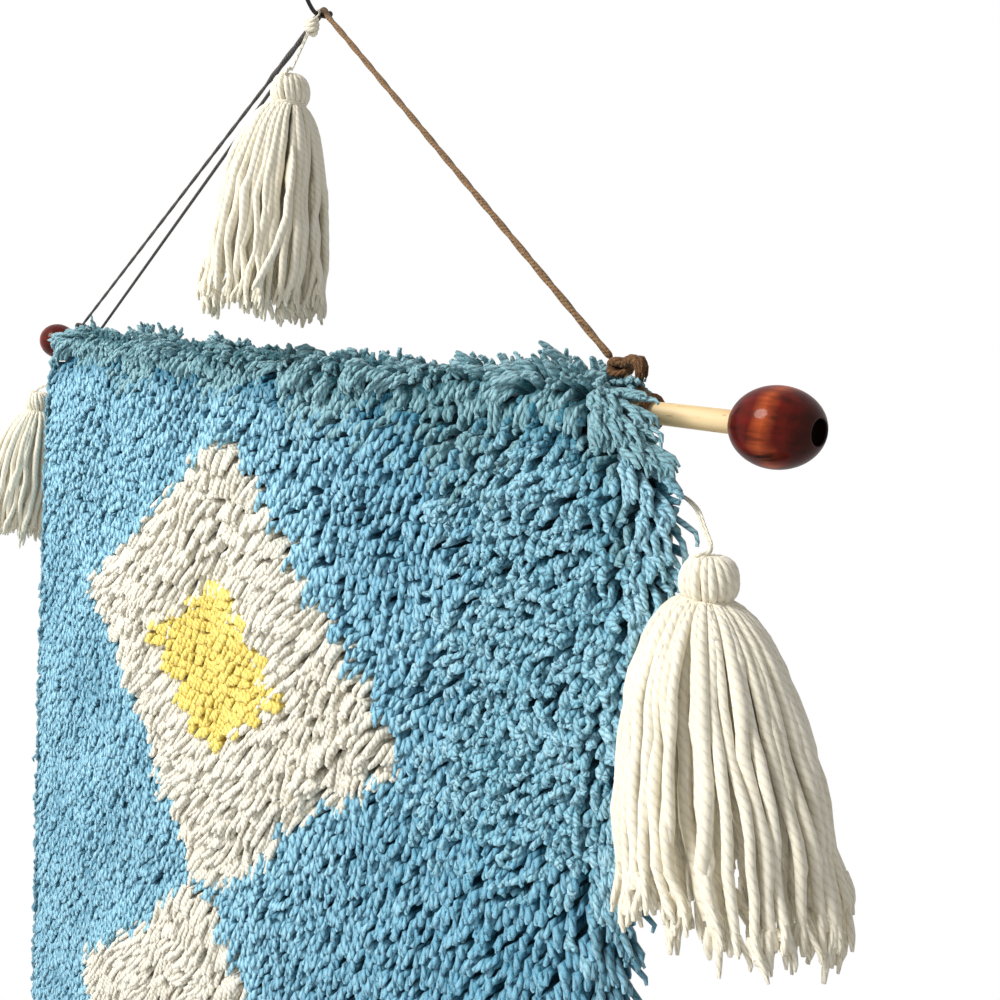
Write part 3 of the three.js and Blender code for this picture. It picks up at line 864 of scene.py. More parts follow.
# The hook's wire from its plate to its tip, each place as (y, z).
HOOK_PATH = [
    (0.0146, 0.24), (0.0085, 0.2405), (0.001, 0.2402), (-0.006, 0.2372),
    (-0.0108, 0.231), (-0.0114, 0.2235), (-0.0086, 0.2166), (-0.0044, 0.2116),
    (-0.0014, 0.21), (0.0024, 0.21), (0.0062, 0.211), (0.0072, 0.2124),
]
HOOK_TIP_RADIUS = 0.0017
PLATE_RADIUS = 0.012
PLATE_THICKNESS = 0.0025


def hook_material():
    material, tree, surface = new_surface("dark_steel", 0.42)
    surface.inputs["Metallic"].default_value = 0.85
    speckle = noise_at(tree, 900, detail=3)
    tone = blend(speckle * 1.6 - 0.4, srgb(38, 37, 36), srgb(66, 63, 60))
    paint(surface, tone, speckle, 0.00005)
    return material


def make_hook():
    material = hook_material()
    route = smooth_route([at(HOOK_ACROSS, y, z) for y, z in HOOK_PATH], 0.0007)
    sides = 20
    side = Vector((1, 0, 0))
    rows = []
    for i, middle in enumerate(route):
        ahead = heading(route, i)
        rows.append([middle + about(ahead, side, angle) * HOOK_WIRE / 2 for angle in circle(sides)])
    wire = rounded("hook_wire", rows, material)
    tip = at(HOOK_ACROSS, *HOOK_PATH[-1])
    end = ball("hook_tip", tip, HOOK_TIP_RADIUS, HOOK_TIP_RADIUS, 14, sides, material)
    bevel = 0.0006
    back = -MIDDLE.y
    front = back - PLATE_THICKNESS
    profile = [
        (front - 0.0009, 0.0022), (front - 0.0004, 0.0046), (front, PLATE_RADIUS - 2 * bevel),
        (front + 0.0002, PLATE_RADIUS - bevel * 0.6), (front + bevel, PLATE_RADIUS),
        (back - 0.0003, PLATE_RADIUS), (back, PLATE_RADIUS - 0.0002),
    ]
    height = HOOK_PATH[0][1]
    rows = [[at(HOOK_ACROSS, y, height) + round_y(angle, r) for angle in circle(48)] for y, r in profile]
    plate = rounded("hook_plate", rows, material)
    hook = joined("wall_hook_wire", [wire, end, plate])
    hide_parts("wall_hook")


def dowel_material():
    material, tree, surface = new_surface("pale_wood", 0.5, specular=0.4)
    grain = noise_at(tree, 140, detail=5, stretch=(0.06, 1.6, 1.6))
    pores = noise_at(tree, 900, stretch=(0.16, 1.0, 1.0))
    wood = blend(grain * 2.4 - 0.7, srgb(214, 176, 118), srgb(250, 226, 176))
    flecks = pores.above(0.66) * 0.55
    paint(surface, blend(flecks, wood, srgb(120, 84, 48)), grain - flecks, 0.00012)
    return material


def make_dowel():
    half = (DOWEL_HIGH.x - DOWEL_LOW.x) / 2
    chamfer = 0.0006
    steps = 8
    shaft = [(-half, DOWEL_RADIUS - chamfer), (-half + chamfer, DOWEL_RADIUS)]
    shaft += [(-half + 2 * half * k / steps, DOWEL_RADIUS) for k in range(1, steps)]
    shaft += [(half - chamfer, DOWEL_RADIUS), (half, DOWEL_RADIUS - chamfer)]
    rows = [ring_about_x(MIDDLE, along, radius, 40) for along, radius in shaft]
    dowel = rounded("dowel_wood", rows, dowel_material())
    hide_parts("dowel")


def bead_material(name, middle, way):
    """Dark red-brown stain under a clear varnish. An orange ring on the outer half is a painted highlight.
    """
    material, tree, surface = new_surface(name, 0.45, specular=0.08, coat=0.17)
    surface.inputs["Coat Roughness"].default_value = 0.1
    surface.inputs["Specular Tint"].default_value = (1.0, 0.42, 0.18, 1)
    turning = noise_at(tree, 420, detail=3, stretch=(1.0, 0.12, 0.12))
    grain = noise_at(tree, 300, detail=4, stretch=(0.1, 1.0, 1.0))
    figure = noise_at(tree, 60, detail=3, stretch=(0.5, 1.0, 1.0))
    along, aside, above = parts_of(object_place(tree))
    # Painted highlight: an orange ring, streaked by the grain, on the bead's outer half.
    strayed = (figure - 0.5) * 0.01 + (along - (middle.x + way * 0.0035))
    ring = (1.0 - (abs(strayed) / 0.0056) ** 0.9).most(0.0)
    stain = blend(grain * 2.2 - 0.65, srgb(38, 4, 3), srgb(100, 15, 9))
    ring_highlight = blend(ring * (grain * 2.6 - 0.85), stain, srgb(188, 88, 44))
    turned = blend((turning * 2.4 - 1.0) * 0.3, ring_highlight, srgb(118, 32, 15))
    # Painted shade: darker towards the bead's outer end.
    outward = ((along - middle.x) * way - 0.008) / 0.012
    shaded_outward = blend(outward.within(0.75), turned, srgb(34, 5, 3))
    # Painted shade: the inside of the bore is near black.
    off_axis = (aside - middle.y) ** 2.0 + (above - middle.z) ** 2.0
    in_bore = off_axis.below((DOWEL_RADIUS + 2 * GAP) ** 2)
    paint(surface, blend(in_bore, shaded_outward, srgb(16, 5, 4)), turning, 0.00005)
    return material


def make_beads():
    for side, node in ((1, "bead_right"), (-1, "bead_left")):
        low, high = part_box(node)
        middle = (low + high) / 2
        material = bead_material(f"{node}_stain", middle, side)
        outer = (high.z - low.z) / 2
        flat = (high.x - low.x) / 2
        bore = DOWEL_RADIUS + GAP
        lip = 0.0008
        length = flat / sqrt(1 - (bore / outer) ** 2)
        first = math.asin((bore + lip) / outer)
        steps = 36
        profile = []
        for k in range(steps + 1):
            angle = first + (pi - 2 * first) * k / steps
            profile.append((-cos(angle) * length, sin(angle) * outer))
        profile += [(flat - 0.0001, bore + 0.0002), (flat - lip, bore)]
        profile += [(-flat + lip, bore), (-flat + 0.0001, bore + 0.0002)]
        rows = [ring_about_x(middle, along, radius, 64) for along, radius in reversed(profile)]
        bead = rounded(f"{node}_turned", rows, material, closed=True)
        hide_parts(node)


# ------------------------------------------------------------------ canvas


def front_y(z):
    """The middle of the cloth, front to back, at a height from the dowel's middle."""
    down = -z / CLOTH_DROP
    swell = -0.004 * sin(pi * down) + 0.005 * down**2
    return HANG_Y + (-WRAP_RADIUS - HANG_Y) * exp(z / 0.022) + swell


def top_hem_y(z):
    return front_y(z) + LAYER_PITCH + (2 * WRAP_RADIUS - LAYER_PITCH) * exp(z / 0.025)


def half_width(z):
    corner = 1 - exp(min(z + CORNER_START, 0) / CORNER_EASE)
    return (CLOTH_TOP_WIDTH + (CLOTH_WIDTH - CLOTH_TOP_WIDTH) * corner) / 2


def wave(across, z):
    return (0.0016 * sin(across * 5.2 + 0.7) - 0.0012 * across**2) * smoothstep(-z, 0.02, 0.26)


def canvas_rows():
    """The cloth from its side: (y, z, half width), from the top of the foot hem, down, up the front,
    over the dowel and down to the end of the top hem."""
    foot = -CLOTH_DROP + LAYER_PITCH / 2
    fold = LAYER_PITCH / 2
    rows = [(front_y(z) + LAYER_PITCH, z) for z in (-CLOTH_DROP + FOOT_HEM, foot + 0.02, foot + 0.01)]
    for angle in range(0, 180, 30):
        turn = radians(angle)
        rows.append((front_y(foot) + fold * (1 + cos(turn)), foot - fold * sin(turn)))
    z = foot
    while z < -0.08:
        rows.append((front_y(z), z))
        z += 0.014
    near_top = (-0.072, -0.062, -0.053, -0.044, -0.036, -0.029, -0.022, -0.016, -0.011, -0.006)
    rows += [(front_y(z), z) for z in near_top]
    rows = [(y, z, half_width(z)) for y, z in rows]
    for angle in range(180, -1, -12):
        turn = radians(angle)
        rows.append((WRAP_RADIUS * cos(turn), WRAP_RADIUS * sin(turn), half_width(0)))
    for z in (-0.005, -0.01, -0.016, -0.024, -0.033, -TOP_HEM):
        rows.append((top_hem_y(z), z, half_width(0)))
    return rows


def canvas_material(length):
    """Open rug canvas with the bar of each knot on it: pairs of twisted threads each way, and short
    bars of yarn in the colours of the pile, in all but the two hems. The holes between the threads, and
    the face under the pile, are painted shade. length is the cloth's, in stitches."""
    material, tree, surface = new_surface("rug_canvas", 0.9, specular=0.2, sheen=0.1)
    across, along, _ = parts_of(value_of(tree, "ShaderNodeUVMap", uv_map="stitches"))
    from_column, from_row = (value.ping_pong(0.5) for value in (across, along))

    def arch(squared):
        """The height of a half circle, at the square of a distance from its middle."""
        return (1.0 - squared).most(0.0).square_root()

    threads = arch((from_column / 0.3) ** 2.0).most(arch((from_row / 0.24) ** 2.0))
    fibres = noise_at(tree, 1400, detail=3)
    cotton = blend(fibres, srgb(196, 182, 150), srgb(232, 222, 196))
    # Painted shade: the holes between the threads are dark grey.
    cloth = blend(threads * 2.2, srgb(96, 100, 92), cotton)

    foot = (CLOTH_DROP - LAYER_PITCH / 2) / STITCH + FOOT_HEM / STITCH
    row = (((foot - along) / STEP_ROWS).floor() + 0.5) * STEP_ROWS
    column = ((across / STEP_COLUMNS).floor() + 0.5) * STEP_COLUMNS
    sideways = abs(column) * (STITCH / MEDALLION_ACROSS)
    reaches = [sideways + abs(row * STITCH + middle) / MEDALLION_TALL for middle in MEDALLIONS]
    reach = reaches[0].least(reaches[1]).least(reaches[2])
    inner = blend(reach.below(MEDALLION_CORE), srgb(214, 204, 180), srgb(224, 190, 78))
    yarn = blend(reach.below(1.0), srgb(78, 134, 158), inner)
    seen = attribute(tree, "pile_side", "Fac")
    # Painted shade: the face under the pile is darkened towards dark teal.
    shaded = blend(seen * 0.75, yarn, srgb(22, 46, 54))

    rise = arch(((from_row - 0.5) * 3.4) ** 2.0 + abs((from_column - 0.5) * 2.3) ** 4.0)
    inside = along.above(FOOT_HEM / STITCH + 1) * along.below(length)
    bar = rise * inside
    covered = (bar * 3.0).most(seen) * inside
    paint(surface, blend(covered, cloth, shaded), fibres * 0.25 + (bar * 2.4).most(threads), 0.0007)
    return material


def make_canvas():
    columns = 32
    rows = canvas_rows()
    flat = [Vector((y, z)) for y, z, _ in rows]
    lengths = lengths_along(flat)
    places, marks, pile_side = [], [], []
    for i, (y, z, width) in enumerate(rows):
        ahead = heading(flat, i)
        for outward in (1, -1):
            side = outward * CANVAS_THICKNESS / 2
            for k in range(columns + 1):
                across = outward * (2 * k / columns - 1)
                back = y + wave(across, z) - ahead.y * side
                places.append(at(across * width, back, z + ahead.x * side))
                marks.append((across * STITCHES_ACROSS / 2, lengths[i] / STITCH))
                pile_side.append(max(outward, 0))
    around = 2 * (columns + 1)
    last = (len(rows) - 1) * around
    faces = bands(len(rows), around)
    for a in range(columns):
        b = around - 1 - a
        faces += [(a + 1, a, b, b - 1), (last + a, last + a + 1, last + b - 1, last + b)]
    material = canvas_material((lengths[-1] - TOP_HEM) / STITCH)
    canvas = mesh_piece("canvas_cloth", places, faces, material)
    keep(canvas.data, "pile_side", pile_side, "FLOAT")
    layer = canvas.data.uv_layers.new(name="stitches")
    for corner in canvas.data.loops:
        layer.data[corner.index].uv = marks[corner.vertex_index]
    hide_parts("canvas")
    return canvas, lengths[-1]


# ------------------------------------------------------------------ pile

MEDALLIONS = (-0.19, -0.506, -0.822)
MEDALLION_ACROSS = 0.216
MEDALLION_TALL = 0.154
MEDALLION_CORE = 0.42
STEP_COLUMNS = 3
STEP_ROWS = 2
CORNER_COLUMN, CORNER_ROWS = 76, 26
UNEVEN_ROWS = 10  # the top rows, whose stitches aren't seen in line
EDGE_STRANDS, TOP_EDGE_STRANDS = 9, 32
CREAM_CLUMP = 0.014
ROLL_CLUMP = 0.012
ROLL_PLIES = 3
PILE_DEPTH = 0.0195

# Painted shade in the groove between two plies, the yarn, a painted highlight on the top of a ply, and
# painted shade on the yarn down at the canvas.
BLUE_TONES = tones((62, 142, 172), (100, 174, 202), (184, 236, 254), (38, 122, 150))
# Painted light: a lighter copy of the blue, for the curled strands of the top right corner.
CORNER_TONES = tones((84, 152, 173), (126, 195, 215), (194, 233, 246), (50, 130, 153))
# Painted shade: a darker, greyer copy of the blue, for the strands round the sides.
EDGE_TONES = tones((62, 126, 148), (110, 176, 198), (176, 222, 236), (32, 100, 122))
# Painted shade: a greyer copy of the blue, for the roll over the dowel and the highest rows mixed into it.
ROLL_TONES = tones((64, 116, 126), (106, 158, 168), (164, 206, 214), (38, 102, 114))
CREAM_TONES = tones((196, 184, 158), (228, 221, 202), (247, 243, 229), (150, 140, 116))
YELLOW_TONES = tones((214, 174, 62), (242, 212, 94), (255, 236, 134), (186, 132, 36))

# For each yarn: how far a tip lies to the side and below its knot, how much of that is uneven,
# how thick the strand is, how deep in the pile its tip may lie, and how much its end hangs.
YARNS = {
    "blue": (0, 0.0088, 0.0028, 0.0055, 0.0042, 0.55),
    "cream": (-0.005, 0.015, 0.0026, 0.0055, 0.0048, 0.75),
    "yellow": (0.0004, 0.007, 0.0012, 0.0064, 0.0018, 0.45),
}

PILE_TREE = BVHTree.FromPolygons(
    [v.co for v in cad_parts["pile"].data.vertices],
    [tuple(p.vertices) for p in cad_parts["pile"].data.polygons],
)


def yarn_at(column, row):
    """Which yarn a stitch has: stepped diamonds of cream with yellow cores, on blue."""
    x = (math.floor((column - STITCHES_ACROSS / 2) / STEP_COLUMNS) + 0.5) * STEP_COLUMNS * STITCH
    z = -(math.floor(row / STEP_ROWS) + 0.5) * STEP_ROWS * STITCH
    reach = min(abs(x) / MEDALLION_ACROSS + abs(z - middle) / MEDALLION_TALL for middle in MEDALLIONS)
    if reach < MEDALLION_CORE:
        return "yellow"
    return "cream" if reach < 1 else "blue"


def pile_front(x, z, fallback):
    """How far forward the pile reaches at a place, from the dowel's middle."""
    hit = PILE_TREE.ray_cast(at(x, -0.3, z), Vector((0, 1, 0)), 0.6)[0]
    return fallback if hit is None else hit.y - MIDDLE.y


def side_room(side, z):
    """How far past the edge of the canvas the pile spreads: less beside the skirts of the tassels."""
    beside = smoothstep(-z, 0.062, 0.09) * (1 - smoothstep(-z, 0.18, 0.205))
    corner = 0.01 * (1 - smoothstep(-z, 0.01, 0.036))
    return (0.016 if side > 0 else 0.0085) + corner - (0.0072 if side > 0 else 0.001) * beside


def front_strand(rng, column, row, half, yarn, curled=False):
    """One of the two ends of the knot in a stitch of the panel's front."""
    out, below, uneven, thick, sunk, hang = YARNS[yarn]
    z = -(row + 0.5) * STITCH
    if row < UNEVEN_ROWS:
        z -= STITCH * 0.5 * even(rng)
    across = (column + 0.5) / (STITCHES_ACROSS / 2) - 1
    x = across * half_width(z)
    root = at(x + half * 0.0011, front_y(z) + wave(across, z) - CANVAS_THICKNESS / 2, z)
    lean = swirl(x, z, 0.038, 3.1)
    side = out + half * 0.0017 + 0.003 * lean + uneven * even(rng)
    drop = below + 0.003 * swirl(x, z, 0.032, 7.7) + uneven * even(rng)
    turn = Vector((0.3 * lean + 0.95 * even(rng), -0.15 + 0.4 * even(rng), -0.9))
    if yarn == "cream":
        combed = swirl(x, z, 0.045, 6.6)
        across_clump = CREAM_CLUMP * (round(x / CREAM_CLUMP + 0.5 * lean) + 0.3 * even(rng))
        down_clump = CREAM_CLUMP * round(z / CREAM_CLUMP + 0.5 * swirl(x, z, 0.03, 4.4))
        side += 0.65 * (across_clump - x) + 0.006 * combed
        drop += 0.6 * (z - down_clump)
        turn = Vector((-0.4 + 1.3 * combed + 0.4 * even(rng), -0.4, -1))
    if curled:
        drop *= 0.65
        turn = Vector((even(rng), rng.uniform(-0.5, 0.3), rng.uniform(-1.2, 0.6)))
    edge = max(0.0, (abs(across) - 0.9) / 0.1)
    way = math.copysign(1, across)
    side += way * side_room(way, z) * edge**2 * rng.uniform(0.75, 1.1)
    tip_x, tip_z = x + side, z - drop
    shallow = root.y - MIDDLE.y - 0.0215 + 0.011 * edge**2
    tip_y = pile_front(tip_x, tip_z, shallow) + sunk * rng.random() ** 1.5 + 0.006 * edge**3
    tip_y += 0.003 * (1 - smoothstep(-z, 0.006, 0.024))
    tip = at(tip_x, min(tip_y, front_y(z) - 0.004), tip_z)
    depth = (root - tip).y
    turn.x += 0.9 * way * edge
    handle_a = root + Vector((side * 0.15, -0.95 * depth, -0.1 * drop))
    handle_b = tip - turn.normalized() * (hang * drop + 0.002)
    # Painted light: the strands are lighter on the left of the panel and darker on the right.
    shade = 0.04 + 0.86 * (1 - smoothstep(x, 0.05, 0.3))
    shade = clamp(shade + 0.35 * swirl(x, z, 0.09, 1.3) + 0.36 * even(rng))
    return strand(root, handle_a, handle_b, tip, thick * rng.uniform(0.85, 1.1), shade, rng.random())


def edge_strand(rng, way, row):
    """Pile of the outermost stitches, pushed round the edge of the canvas by the rest."""
    z = -(row + rng.random()) * STITCH
    width = half_width(min(z, 0))
    front = front_y(min(z, 0)) + wave(way, z) - CANVAS_THICKNESS / 2
    root = at(way * (width - 0.01 * rng.random()), front, z)
    edge = way * width - root.x + MIDDLE.x
    room = side_room(way, z)
    part = 1.3 * rng.random() ** 0.8 - 0.3
    if way > 0 and row < 2:
        room += 0.003 if row < 0 else 0.008
        part = rng.uniform(0.1, 1)
    out = part * room + way * edge
    forward = PILE_DEPTH * sqrt(1 - max(part, 0) ** 2) * rng.uniform(0.85, 1.05) - 0.001
    if row < 2:
        forward = PILE_DEPTH * (1 - 0.35 * max(part, 0) ** 2) * rng.uniform(0.75, 1.05)
    if row >= CORNER_ROWS and rng.random() < 0.015:
        out += 0.007
    drop = rng.uniform(0.005, 0.013) if row >= 0 else rng.uniform(-0.001, 0.009)
    tip = root + Vector((way * out, -forward, -drop))
    handle_a = root + Vector((way * 0.45 * out, -0.9 * forward - 0.004, 0))
    lean = Vector((way * rng.uniform(-0.7, 0.5), rng.uniform(-0.5, 0.4), -1)).normalized()
    handle_b = tip - lean * (0.6 * drop + 0.003)
    thick = 0.0041
    if way > 0 and row < CORNER_ROWS:
        thick = 0.0033 if row < 2 else 0.0036
    thick *= rng.uniform(0.8, 1.1)
    # Painted shade: the side strands get less of the lighter tone than the front's.
    return strand(root, handle_a, handle_b, tip, thick, 0.7 * rng.random(), rng.random())


def roll_reach(x, angle):
    """How far the pile reaches from the dowel's axis at an angle from straight back."""
    away = Vector((0, cos(angle), sin(angle)))
    hit = PILE_TREE.ray_cast(at(x, 0, 0) + away * 0.09, -away, 0.09)[0]
    return 0.016 if hit is None else (hit - at(x, 0, 0)).length


def roll_tuft(rng, column, angle):
    """A knot of the longer pile that goes over the dowel: its two ends, bloomed and soft."""
    across = (column + 0.5 + 0.5 * even(rng)) / (STITCHES_ACROSS / 2) - 1
    x = across * half_width(0)
    start = radians(angle)
    away = Vector((0, cos(start), sin(start)))
    over = (22 + 18 * smoothstep(x, 0, 0.3)) * smoothstep(angle, 118, 170)
    tilt = radians(8 + over + 24 * swirl(x, angle / 900, 0.03, 5.5) + 16 * even(rng))
    finish = clamp(start + tilt, radians(62), radians(212 + 14 * smoothstep(x, 0, 0.3)))
    degrees = math.degrees(finish)
    cell = math.floor(x / ROLL_CLUMP + 0.4 * swirl(x, angle / 900, 0.02, 8.8))
    side = 0.5 * ((cell + 0.5) * ROLL_CLUMP - x) + 0.0024 * even(rng)
    side += 0.0075 * swirl(x, angle / 600, 0.045, 9.9)
    rise = 0.016 * max(noise.noise(Vector((cell * 1.73, angle / 40, 4.2))) - 0.08, -0.2)
    rise *= 1 - smoothstep(x, 0.286, 0.306)
    rise += 0.005 * smoothstep(x, 0.22, 0.3)
    rise += 0.009 * smoothstep(-x, 0.29, 0.318)
    edge = max(0.0, (abs(across) - 0.95) / 0.05)
    way = math.copysign(1, across)
    side += way * (0.013 if way > 0 else 0.022) * edge * smoothstep(angle, 84, 110)
    limit = half_width(0) + (0.014 if way > 0 else 0.021) * smoothstep(degrees, 84, 120) + 0.001
    if way > 0:
        limit -= 0.006 * smoothstep(130 - degrees, 0, 30)
    tip_x = clamp(x + side, -limit, limit)
    inside = clamp(tip_x, 0.002 - half_width(0), half_width(0) - 0.002)
    reach = max(roll_reach(inside, min(finish, pi)), 0.0125) + rise - 0.005 * rng.random() ** 1.6
    at_end = smoothstep(tip_x, 0.306, 0.328) * smoothstep(140 - degrees, 0, 40)
    reach = max(reach * (1 - 0.25 * at_end), WRAP_RADIUS + 0.002)
    towards = Vector((0, cos(finish), sin(finish)))
    tip = at(tip_x, 0, 0) + towards * reach
    shade = clamp(0.45 + 0.45 * swirl(x, angle / 900, 0.02, 2.2) + 0.3 * even(rng))
    plies = []
    for _ in range(ROLL_PLIES):
        nudge = scatter(rng)
        root = at(x, 0, 0) + away * (WRAP_RADIUS + CANVAS_THICKNESS / 2 - 0.0003)
        root += Vector((nudge.x * 0.0016, 0, 0))
        end = tip + nudge * 0.0038 - towards * (0.0015 + 0.003 * rng.random())
        handle_a = root + away * 0.55 * (reach - WRAP_RADIUS) + nudge * 0.001
        handle_b = tip.lerp(root, 0.35) + away * 0.003 + nudge * 0.003
        plies.append(strand(root, handle_a, handle_b, end, rng.uniform(0.0032, 0.0046), shade, rng.random()))
    return plies


def lay_front(rng, rows, yarns, corner, tufts):
    """Both strands of each stitch of the front. The highest are mixed into the roll, and those of the
    top right corner are thinner, curled, and three to a stitch's two."""
    for row in range(rows):
        for column in range(STITCHES_ACROSS):
            yarn = yarn_at(column, row)
            for half in (-1, 1):
                past = min((column - CORNER_COLUMN) / 4, (CORNER_ROWS - row) / 4)
                in_corner = past > even(rng)
                made = front_strand(rng, column, row, half, yarn, in_corner)
                mixed = 0.9 - row / (2.5 + 4 * smoothstep(column, 46, 88)) + 0.5 * swirl(column, row, 9, 5.9)
                if mixed > rng.random():
                    made["thick"] *= 0.85
                    tufts.append(made)
                elif in_corner:
                    more = front_strand(rng, column, row, 0, yarn, True)
                    for curl in (made, more):
                        curl["thick"] *= 0.78
                        corner.append(curl)
                else:
                    yarns[yarn].append(made)


def lay_edges(rng, rows, edges, corner, tufts):
    """The strands past the two sides, thick on top, where they close the ends of the roll."""
    for way, top_rows in ((-1, 1), (1, 2)):
        for row in range(-1, rows):
            beside_corner = way > 0 and row < CORNER_ROWS
            laid = tufts if row < 2 else corner if beside_corner else edges
            for _ in range(TOP_EDGE_STRANDS if row < top_rows else EDGE_STRANDS):
                laid.append(edge_strand(rng, way, row))


def make_pile():
    rng = random.Random(41)
    rows = round(CLOTH_DROP / STITCH)
    yarns = {"blue": [], "cream": [], "yellow": []}
    corner, edges, tufts = [], [], []
    lay_front(rng, rows, yarns, corner, tufts)
    lay_edges(rng, rows, edges, corner, tufts)
    for angle in range(66, 179, 14):
        for column in range(STITCHES_ACROSS):
            tufts += roll_tuft(rng, column, angle + 8 * even(rng))

    def yarn(kind, colours, pitch, relief, roughness, root, **look):
        name = f"pile_{kind}_yarn"
        return yarn_material(name, colours, 2, pitch, relief, roughness, root=root, **look)

    blue = yarn("blue", BLUE_TONES, 0.011, 0.001, 0.5, 0.022, sharp=0.8)
    edge_yarn = yarn("edge", EDGE_TONES, 0.009, 0.0007, 0.6, 0.027, sharp=0.7)
    cream = yarn("cream", CREAM_TONES, 0.006, 0.0004, 0.7, 0.02)
    yellow = yarn("yellow", YELLOW_TONES, 0.0056, 0.0004, 0.65, 0.018)
    corner_yarn = yarn("corner", CORNER_TONES, 0.0066, 0.0008, 0.6, 0.021, sharp=0.7)
    roll = yarn("roll", ROLL_TONES, 0.009, 0.0006, 0.7, 0.012, sharp=0.7)
    stubby = {"crowding": 2.3, "start": 0.6}
    curly = {"crowding": 1.9, "start": 0.6, "end": 0.7, "wander": 0.01, "wander_scale": 95}
    whole = yarns["blue"]
    pieces = []
    for part, segments in enumerate((3, 3, 2)):
        some = whole[part * len(whole) // 3 : (part + 1) * len(whole) // 3]
        shape = stubby | {"segments": segments}
        pieces.append(make_strands(f"pile_blue_{part + 1}", some, blue, "pile_blue", **shape))
    pieces += [
        make_strands("pile_corner", corner, corner_yarn, "pile_blue", segments=5, **curly),
        make_strands("pile_edges", edges, edge_yarn, "pile_blue", crowding=1.5),
        make_strands("pile_cream", yarns["cream"], cream, "pile_cream", crowding=1.9, start=0.6),
        make_strands("pile_yellow", yarns["yellow"], yellow, "pile_yellow", **stubby),
        make_strands("pile_roll", tufts, roll, "pile_blue", crowding=1.5, end=0.45),
    ]
    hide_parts("pile")
    return pieces


# ------------------------------------------------------------------ tassels

SHOULDER = 0.72  # how wide a skirt is just under its neck, as a share of its full width
SIDE_SKIRT = {"across": 0.043, "deep": 0.041, "bow": 0.0, "slant": 0.0}
TASSELS = {
    "top": {
        "head": (HOOK_ACROSS, -0.0165, 0.1646), "foot": (0.039, -0.023, 0.0315), "across": 0.0385,
        "deep": 0.036, "short": (-0.006, 0.008), "bow": -0.0095, "slant": 0.026,
    },
    "right": SIDE_SKIRT | {
        "head": (0.384, -0.015, -0.0577), "foot": (0.418, -0.027, -0.191), "short": (0.009, 0.022),
    },
    "left": SIDE_SKIRT | {
        "head": (-0.386, -0.02, -0.055), "foot": (-0.419, -0.027, -0.188), "short": (-0.002, 0.01),
    },
}
# One strand of the top tassel that lies slanting across the others: its top, its two handles, its foot.
STRAY = ((0.066, -0.024, 0.128), (0.079, -0.028, 0.105), (0.083, -0.037, 0.08), (0.072, -0.043, 0.05))
NECK_DROP = 0.009
NECK_RADIUS = 0.008
HEAD_RISE = 0.008
SKIRT_YARN = 0.0052
SKIRT_LAYERS = ((1.0, 44), (0.76, 30), (0.45, 16))  # how far out each layer is, and its strands
HEAD_STRANDS = 19
HEAD_YARN = 0.0036
CORE_RADIUS = 0.0096
SKIRT_CLEARANCE = 0.0055  # from the wall to the middle of a strand at the back of a skirt
FRAY_PLIES = 3

# Tones as for the pile's yarns: painted shade in the groove, the yarn, a painted highlight on a ply's top,
# and painted shade near the root.
TASSEL_TONES = tones((228, 218, 192), (239, 230, 206), (248, 242, 224), (172, 158, 128))


def skirt_strands(rng, tassel):
    head, foot = at(*tassel["head"]), at(*tassel["foot"])
    across, deep = tassel["across"] - SKIRT_YARN / 2, tassel["deep"] - SKIRT_YARN / 2
    drop = (head - foot).z
    lean = Vector((foot.x - head.x, foot.y - head.y, 0))
    bow = Vector((tassel["bow"], 0, 0))
    strands = []
    for share, count in SKIRT_LAYERS:
        for k in range(count):
            angle = 2 * pi * (k + 0.5 * share + 0.25 * even(rng)) / count
            ring = round_z(angle)
            side = Vector((-ring.y, ring.x, 0))
            wide = round_z(angle, across, deep) * share
            root = head + ring * (NECK_RADIUS - 0.0022) * share - up(NECK_DROP + 0.0006)
            handle_a = head + wide * SHOULDER + lean * 0.05 - up(0.01)
            handle_a += side * 0.003 * even(rng) + bow
            handle_b = head + wide * rng.uniform(0.96, 1.04) + lean * 0.55 - up(drop * 0.55)
            handle_b += side * 0.006 * even(rng) + bow * 0.7
            short = rng.uniform(*tassel["short"]) + tassel["slant"] * max(-ring.x, 0) ** 2
            end = head + wide * rng.uniform(0.94, 1.02) + lean - up(drop - 0.008 - short)
            end += side * 0.003 * even(rng)
            for place in (handle_a, handle_b, end):
                place.y = min(place.y, -SKIRT_CLEARANCE)
            shade = clamp(rng.gauss(0.5, 0.22))
            thick = SKIRT_YARN * rng.uniform(0.78, 1.12)
            strands.append(strand(root, handle_a, handle_b, end, thick, shade, rng.random()))
    return strands


def frayed_ends(rng, strands):
    """Below each strand its plies come apart."""
    frays = []
    for whole in strands:
        end = whole["root"] + whole["end"]
        down = (whole["end"] - whole["handle_b"]).normalized()
        side = down.orthogonal().normalized()
        turn = rng.uniform(0, 2 * pi)
        for angle in circle(FRAY_PLIES):
            away = about(down, side, turn + angle)
            root = end - down * 0.006 + away * whole["thick"] * 0.22
            long = rng.uniform(0.008, 0.014)
            spread = rng.uniform(0.1, 0.8)
            tip = root + down * long + away * 0.003 * spread + side * 0.0016 * even(rng)
            handle_a = root + down * long * 0.35 + away * 0.0008
            handle_b = tip - down * long * 0.3 + away * 0.0012 * spread
            thick = whole["thick"] * rng.uniform(0.5, 0.66)
            shade, phase, _ = whole["strand"]
            frays.append(strand(root, handle_a, handle_b, tip, thick, shade, phase))
    return frays


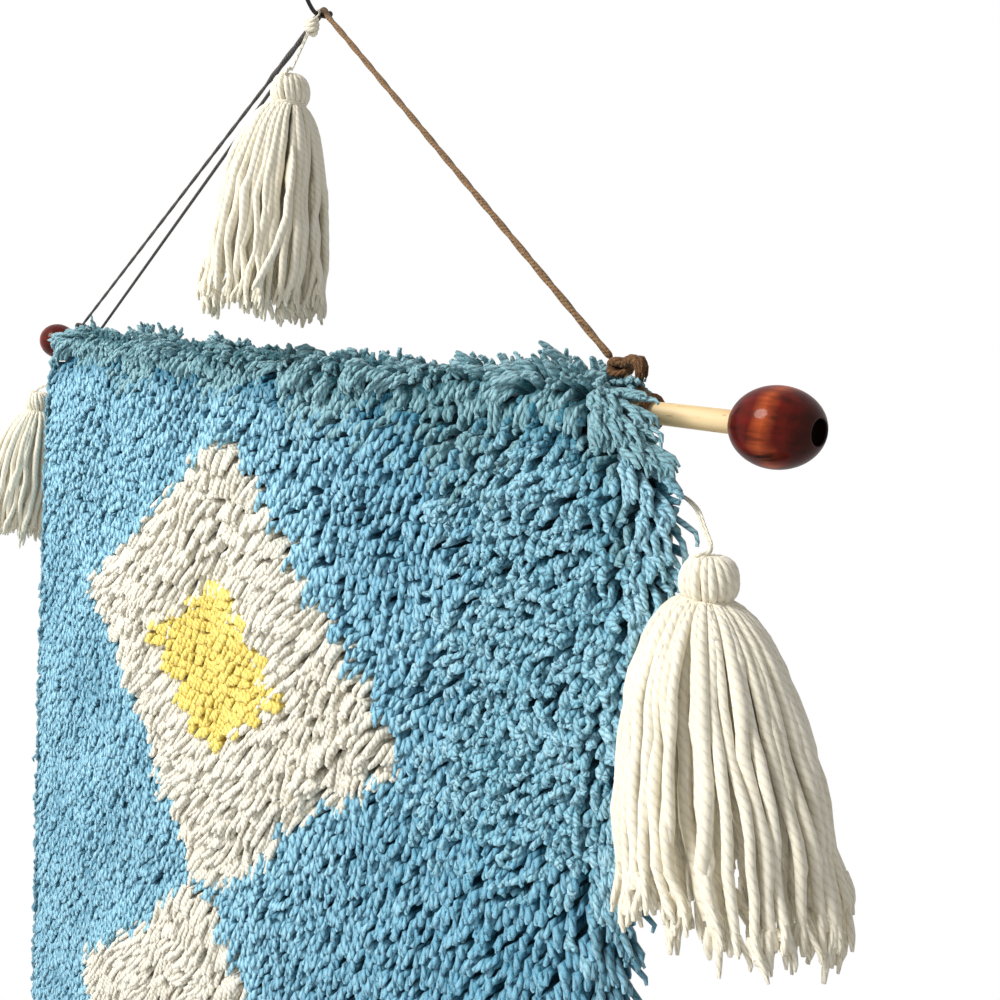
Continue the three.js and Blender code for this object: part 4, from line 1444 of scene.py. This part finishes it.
def head_strands(rng, head):
    strands = []
    for k in range(HEAD_STRANDS):
        angle = 2 * pi * (k + 0.2 * even(rng)) / HEAD_STRANDS
        ring, later = round_z(angle), round_z(angle + 0.35)
        root = head + ring * 0.0016 + up(HEAD_RISE - HEAD_YARN / 2)
        handle_a = head + ring * 0.0106 + up(HEAD_RISE + 0.0002)
        handle_b = head + later * 0.0126 - up(0.0062)
        end = head + later * (NECK_RADIUS - HEAD_YARN / 2 + 0.0006) - up(NECK_DROP)
        shade = clamp(rng.gauss(0.5, 0.15))
        strands.append(strand(root, handle_a, handle_b, end, HEAD_YARN, shade, rng.random()))
    return strands


def tassel_binding(name, head, material):
    turns, steps = 2.3, 40
    radius = NECK_RADIUS + 0.001
    points = []
    for k in range(steps + 1):
        level = head + up(-NECK_DROP - 0.0022 + 0.0024 * k / steps)
        points.append(level + round_z(2 * pi * turns * k / steps, radius, radius))
    binding, _ = thread(f"tassel_{name}_binding_thread", points, 0.0016, material, 0.006, sides=7)
    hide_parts(f"tassel_{name}_binding")


def make_tassel(name, material, seed):
    rng = random.Random(seed)
    tassel = TASSELS[name]
    head = at(*tassel["head"])
    outer = skirt_strands(rng, tassel)
    if name == "top":
        outer.append(strand(*[at(*place) for place in STRAY], 0.0046, 0.6, 0.5))

    def part(kind, strands, **shape):
        return make_strands(f"tassel_{name}_{kind}", strands, material, "tassel_yarn", crowding=1.0, **shape)

    skirt = part("strands", outer, segments=16, sides=6, start=0.42, end=0.75, wander=0.019)
    part("frays", frayed_ends(rng, outer), segments=4, wander=0.019, wander_at_root=1.0)
    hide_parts(f"tassel_{name}_skirt")
    winding = part("head_strands", head_strands(rng, head), segments=10, sides=8, start=0.6, end=0.8)
    ball(f"tassel_{name}_head_core", head, CORE_RADIUS, HEAD_RISE, 12, 24, material)
    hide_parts(f"tassel_{name}_head")
    tassel_binding(name, head, material)


# ------------------------------------------------------------------ what is run, in order

aim_camera()
light_world()
lay_floor()

cord_yarn = cord_material()
hanger, hanger_route, second, second_route = hanger_cords(cord_yarn)
knots = knot_pieces(cord_yarn)

make_hook()
make_dowel()
make_beads()
canvas, canvas_length = make_canvas()
pile_pieces = make_pile()

tassel_yarn = yarn_material("tassel_wool", TASSEL_TONES, 3, 0.013, 0.0003, 0.9, sheen=0.2, sharp=0.6)
for number, tassel_name in enumerate(TASSELS):
    make_tassel(tassel_name, tassel_yarn, 100 + number)
side_tie("right", tassel_yarn)
side_tie("left", tassel_yarn)
top_ties(tassel_yarn)

add_lamp("key", at(-0.7, -2.1, 1.4), at(0, 0, -0.3), 1.2, 82)
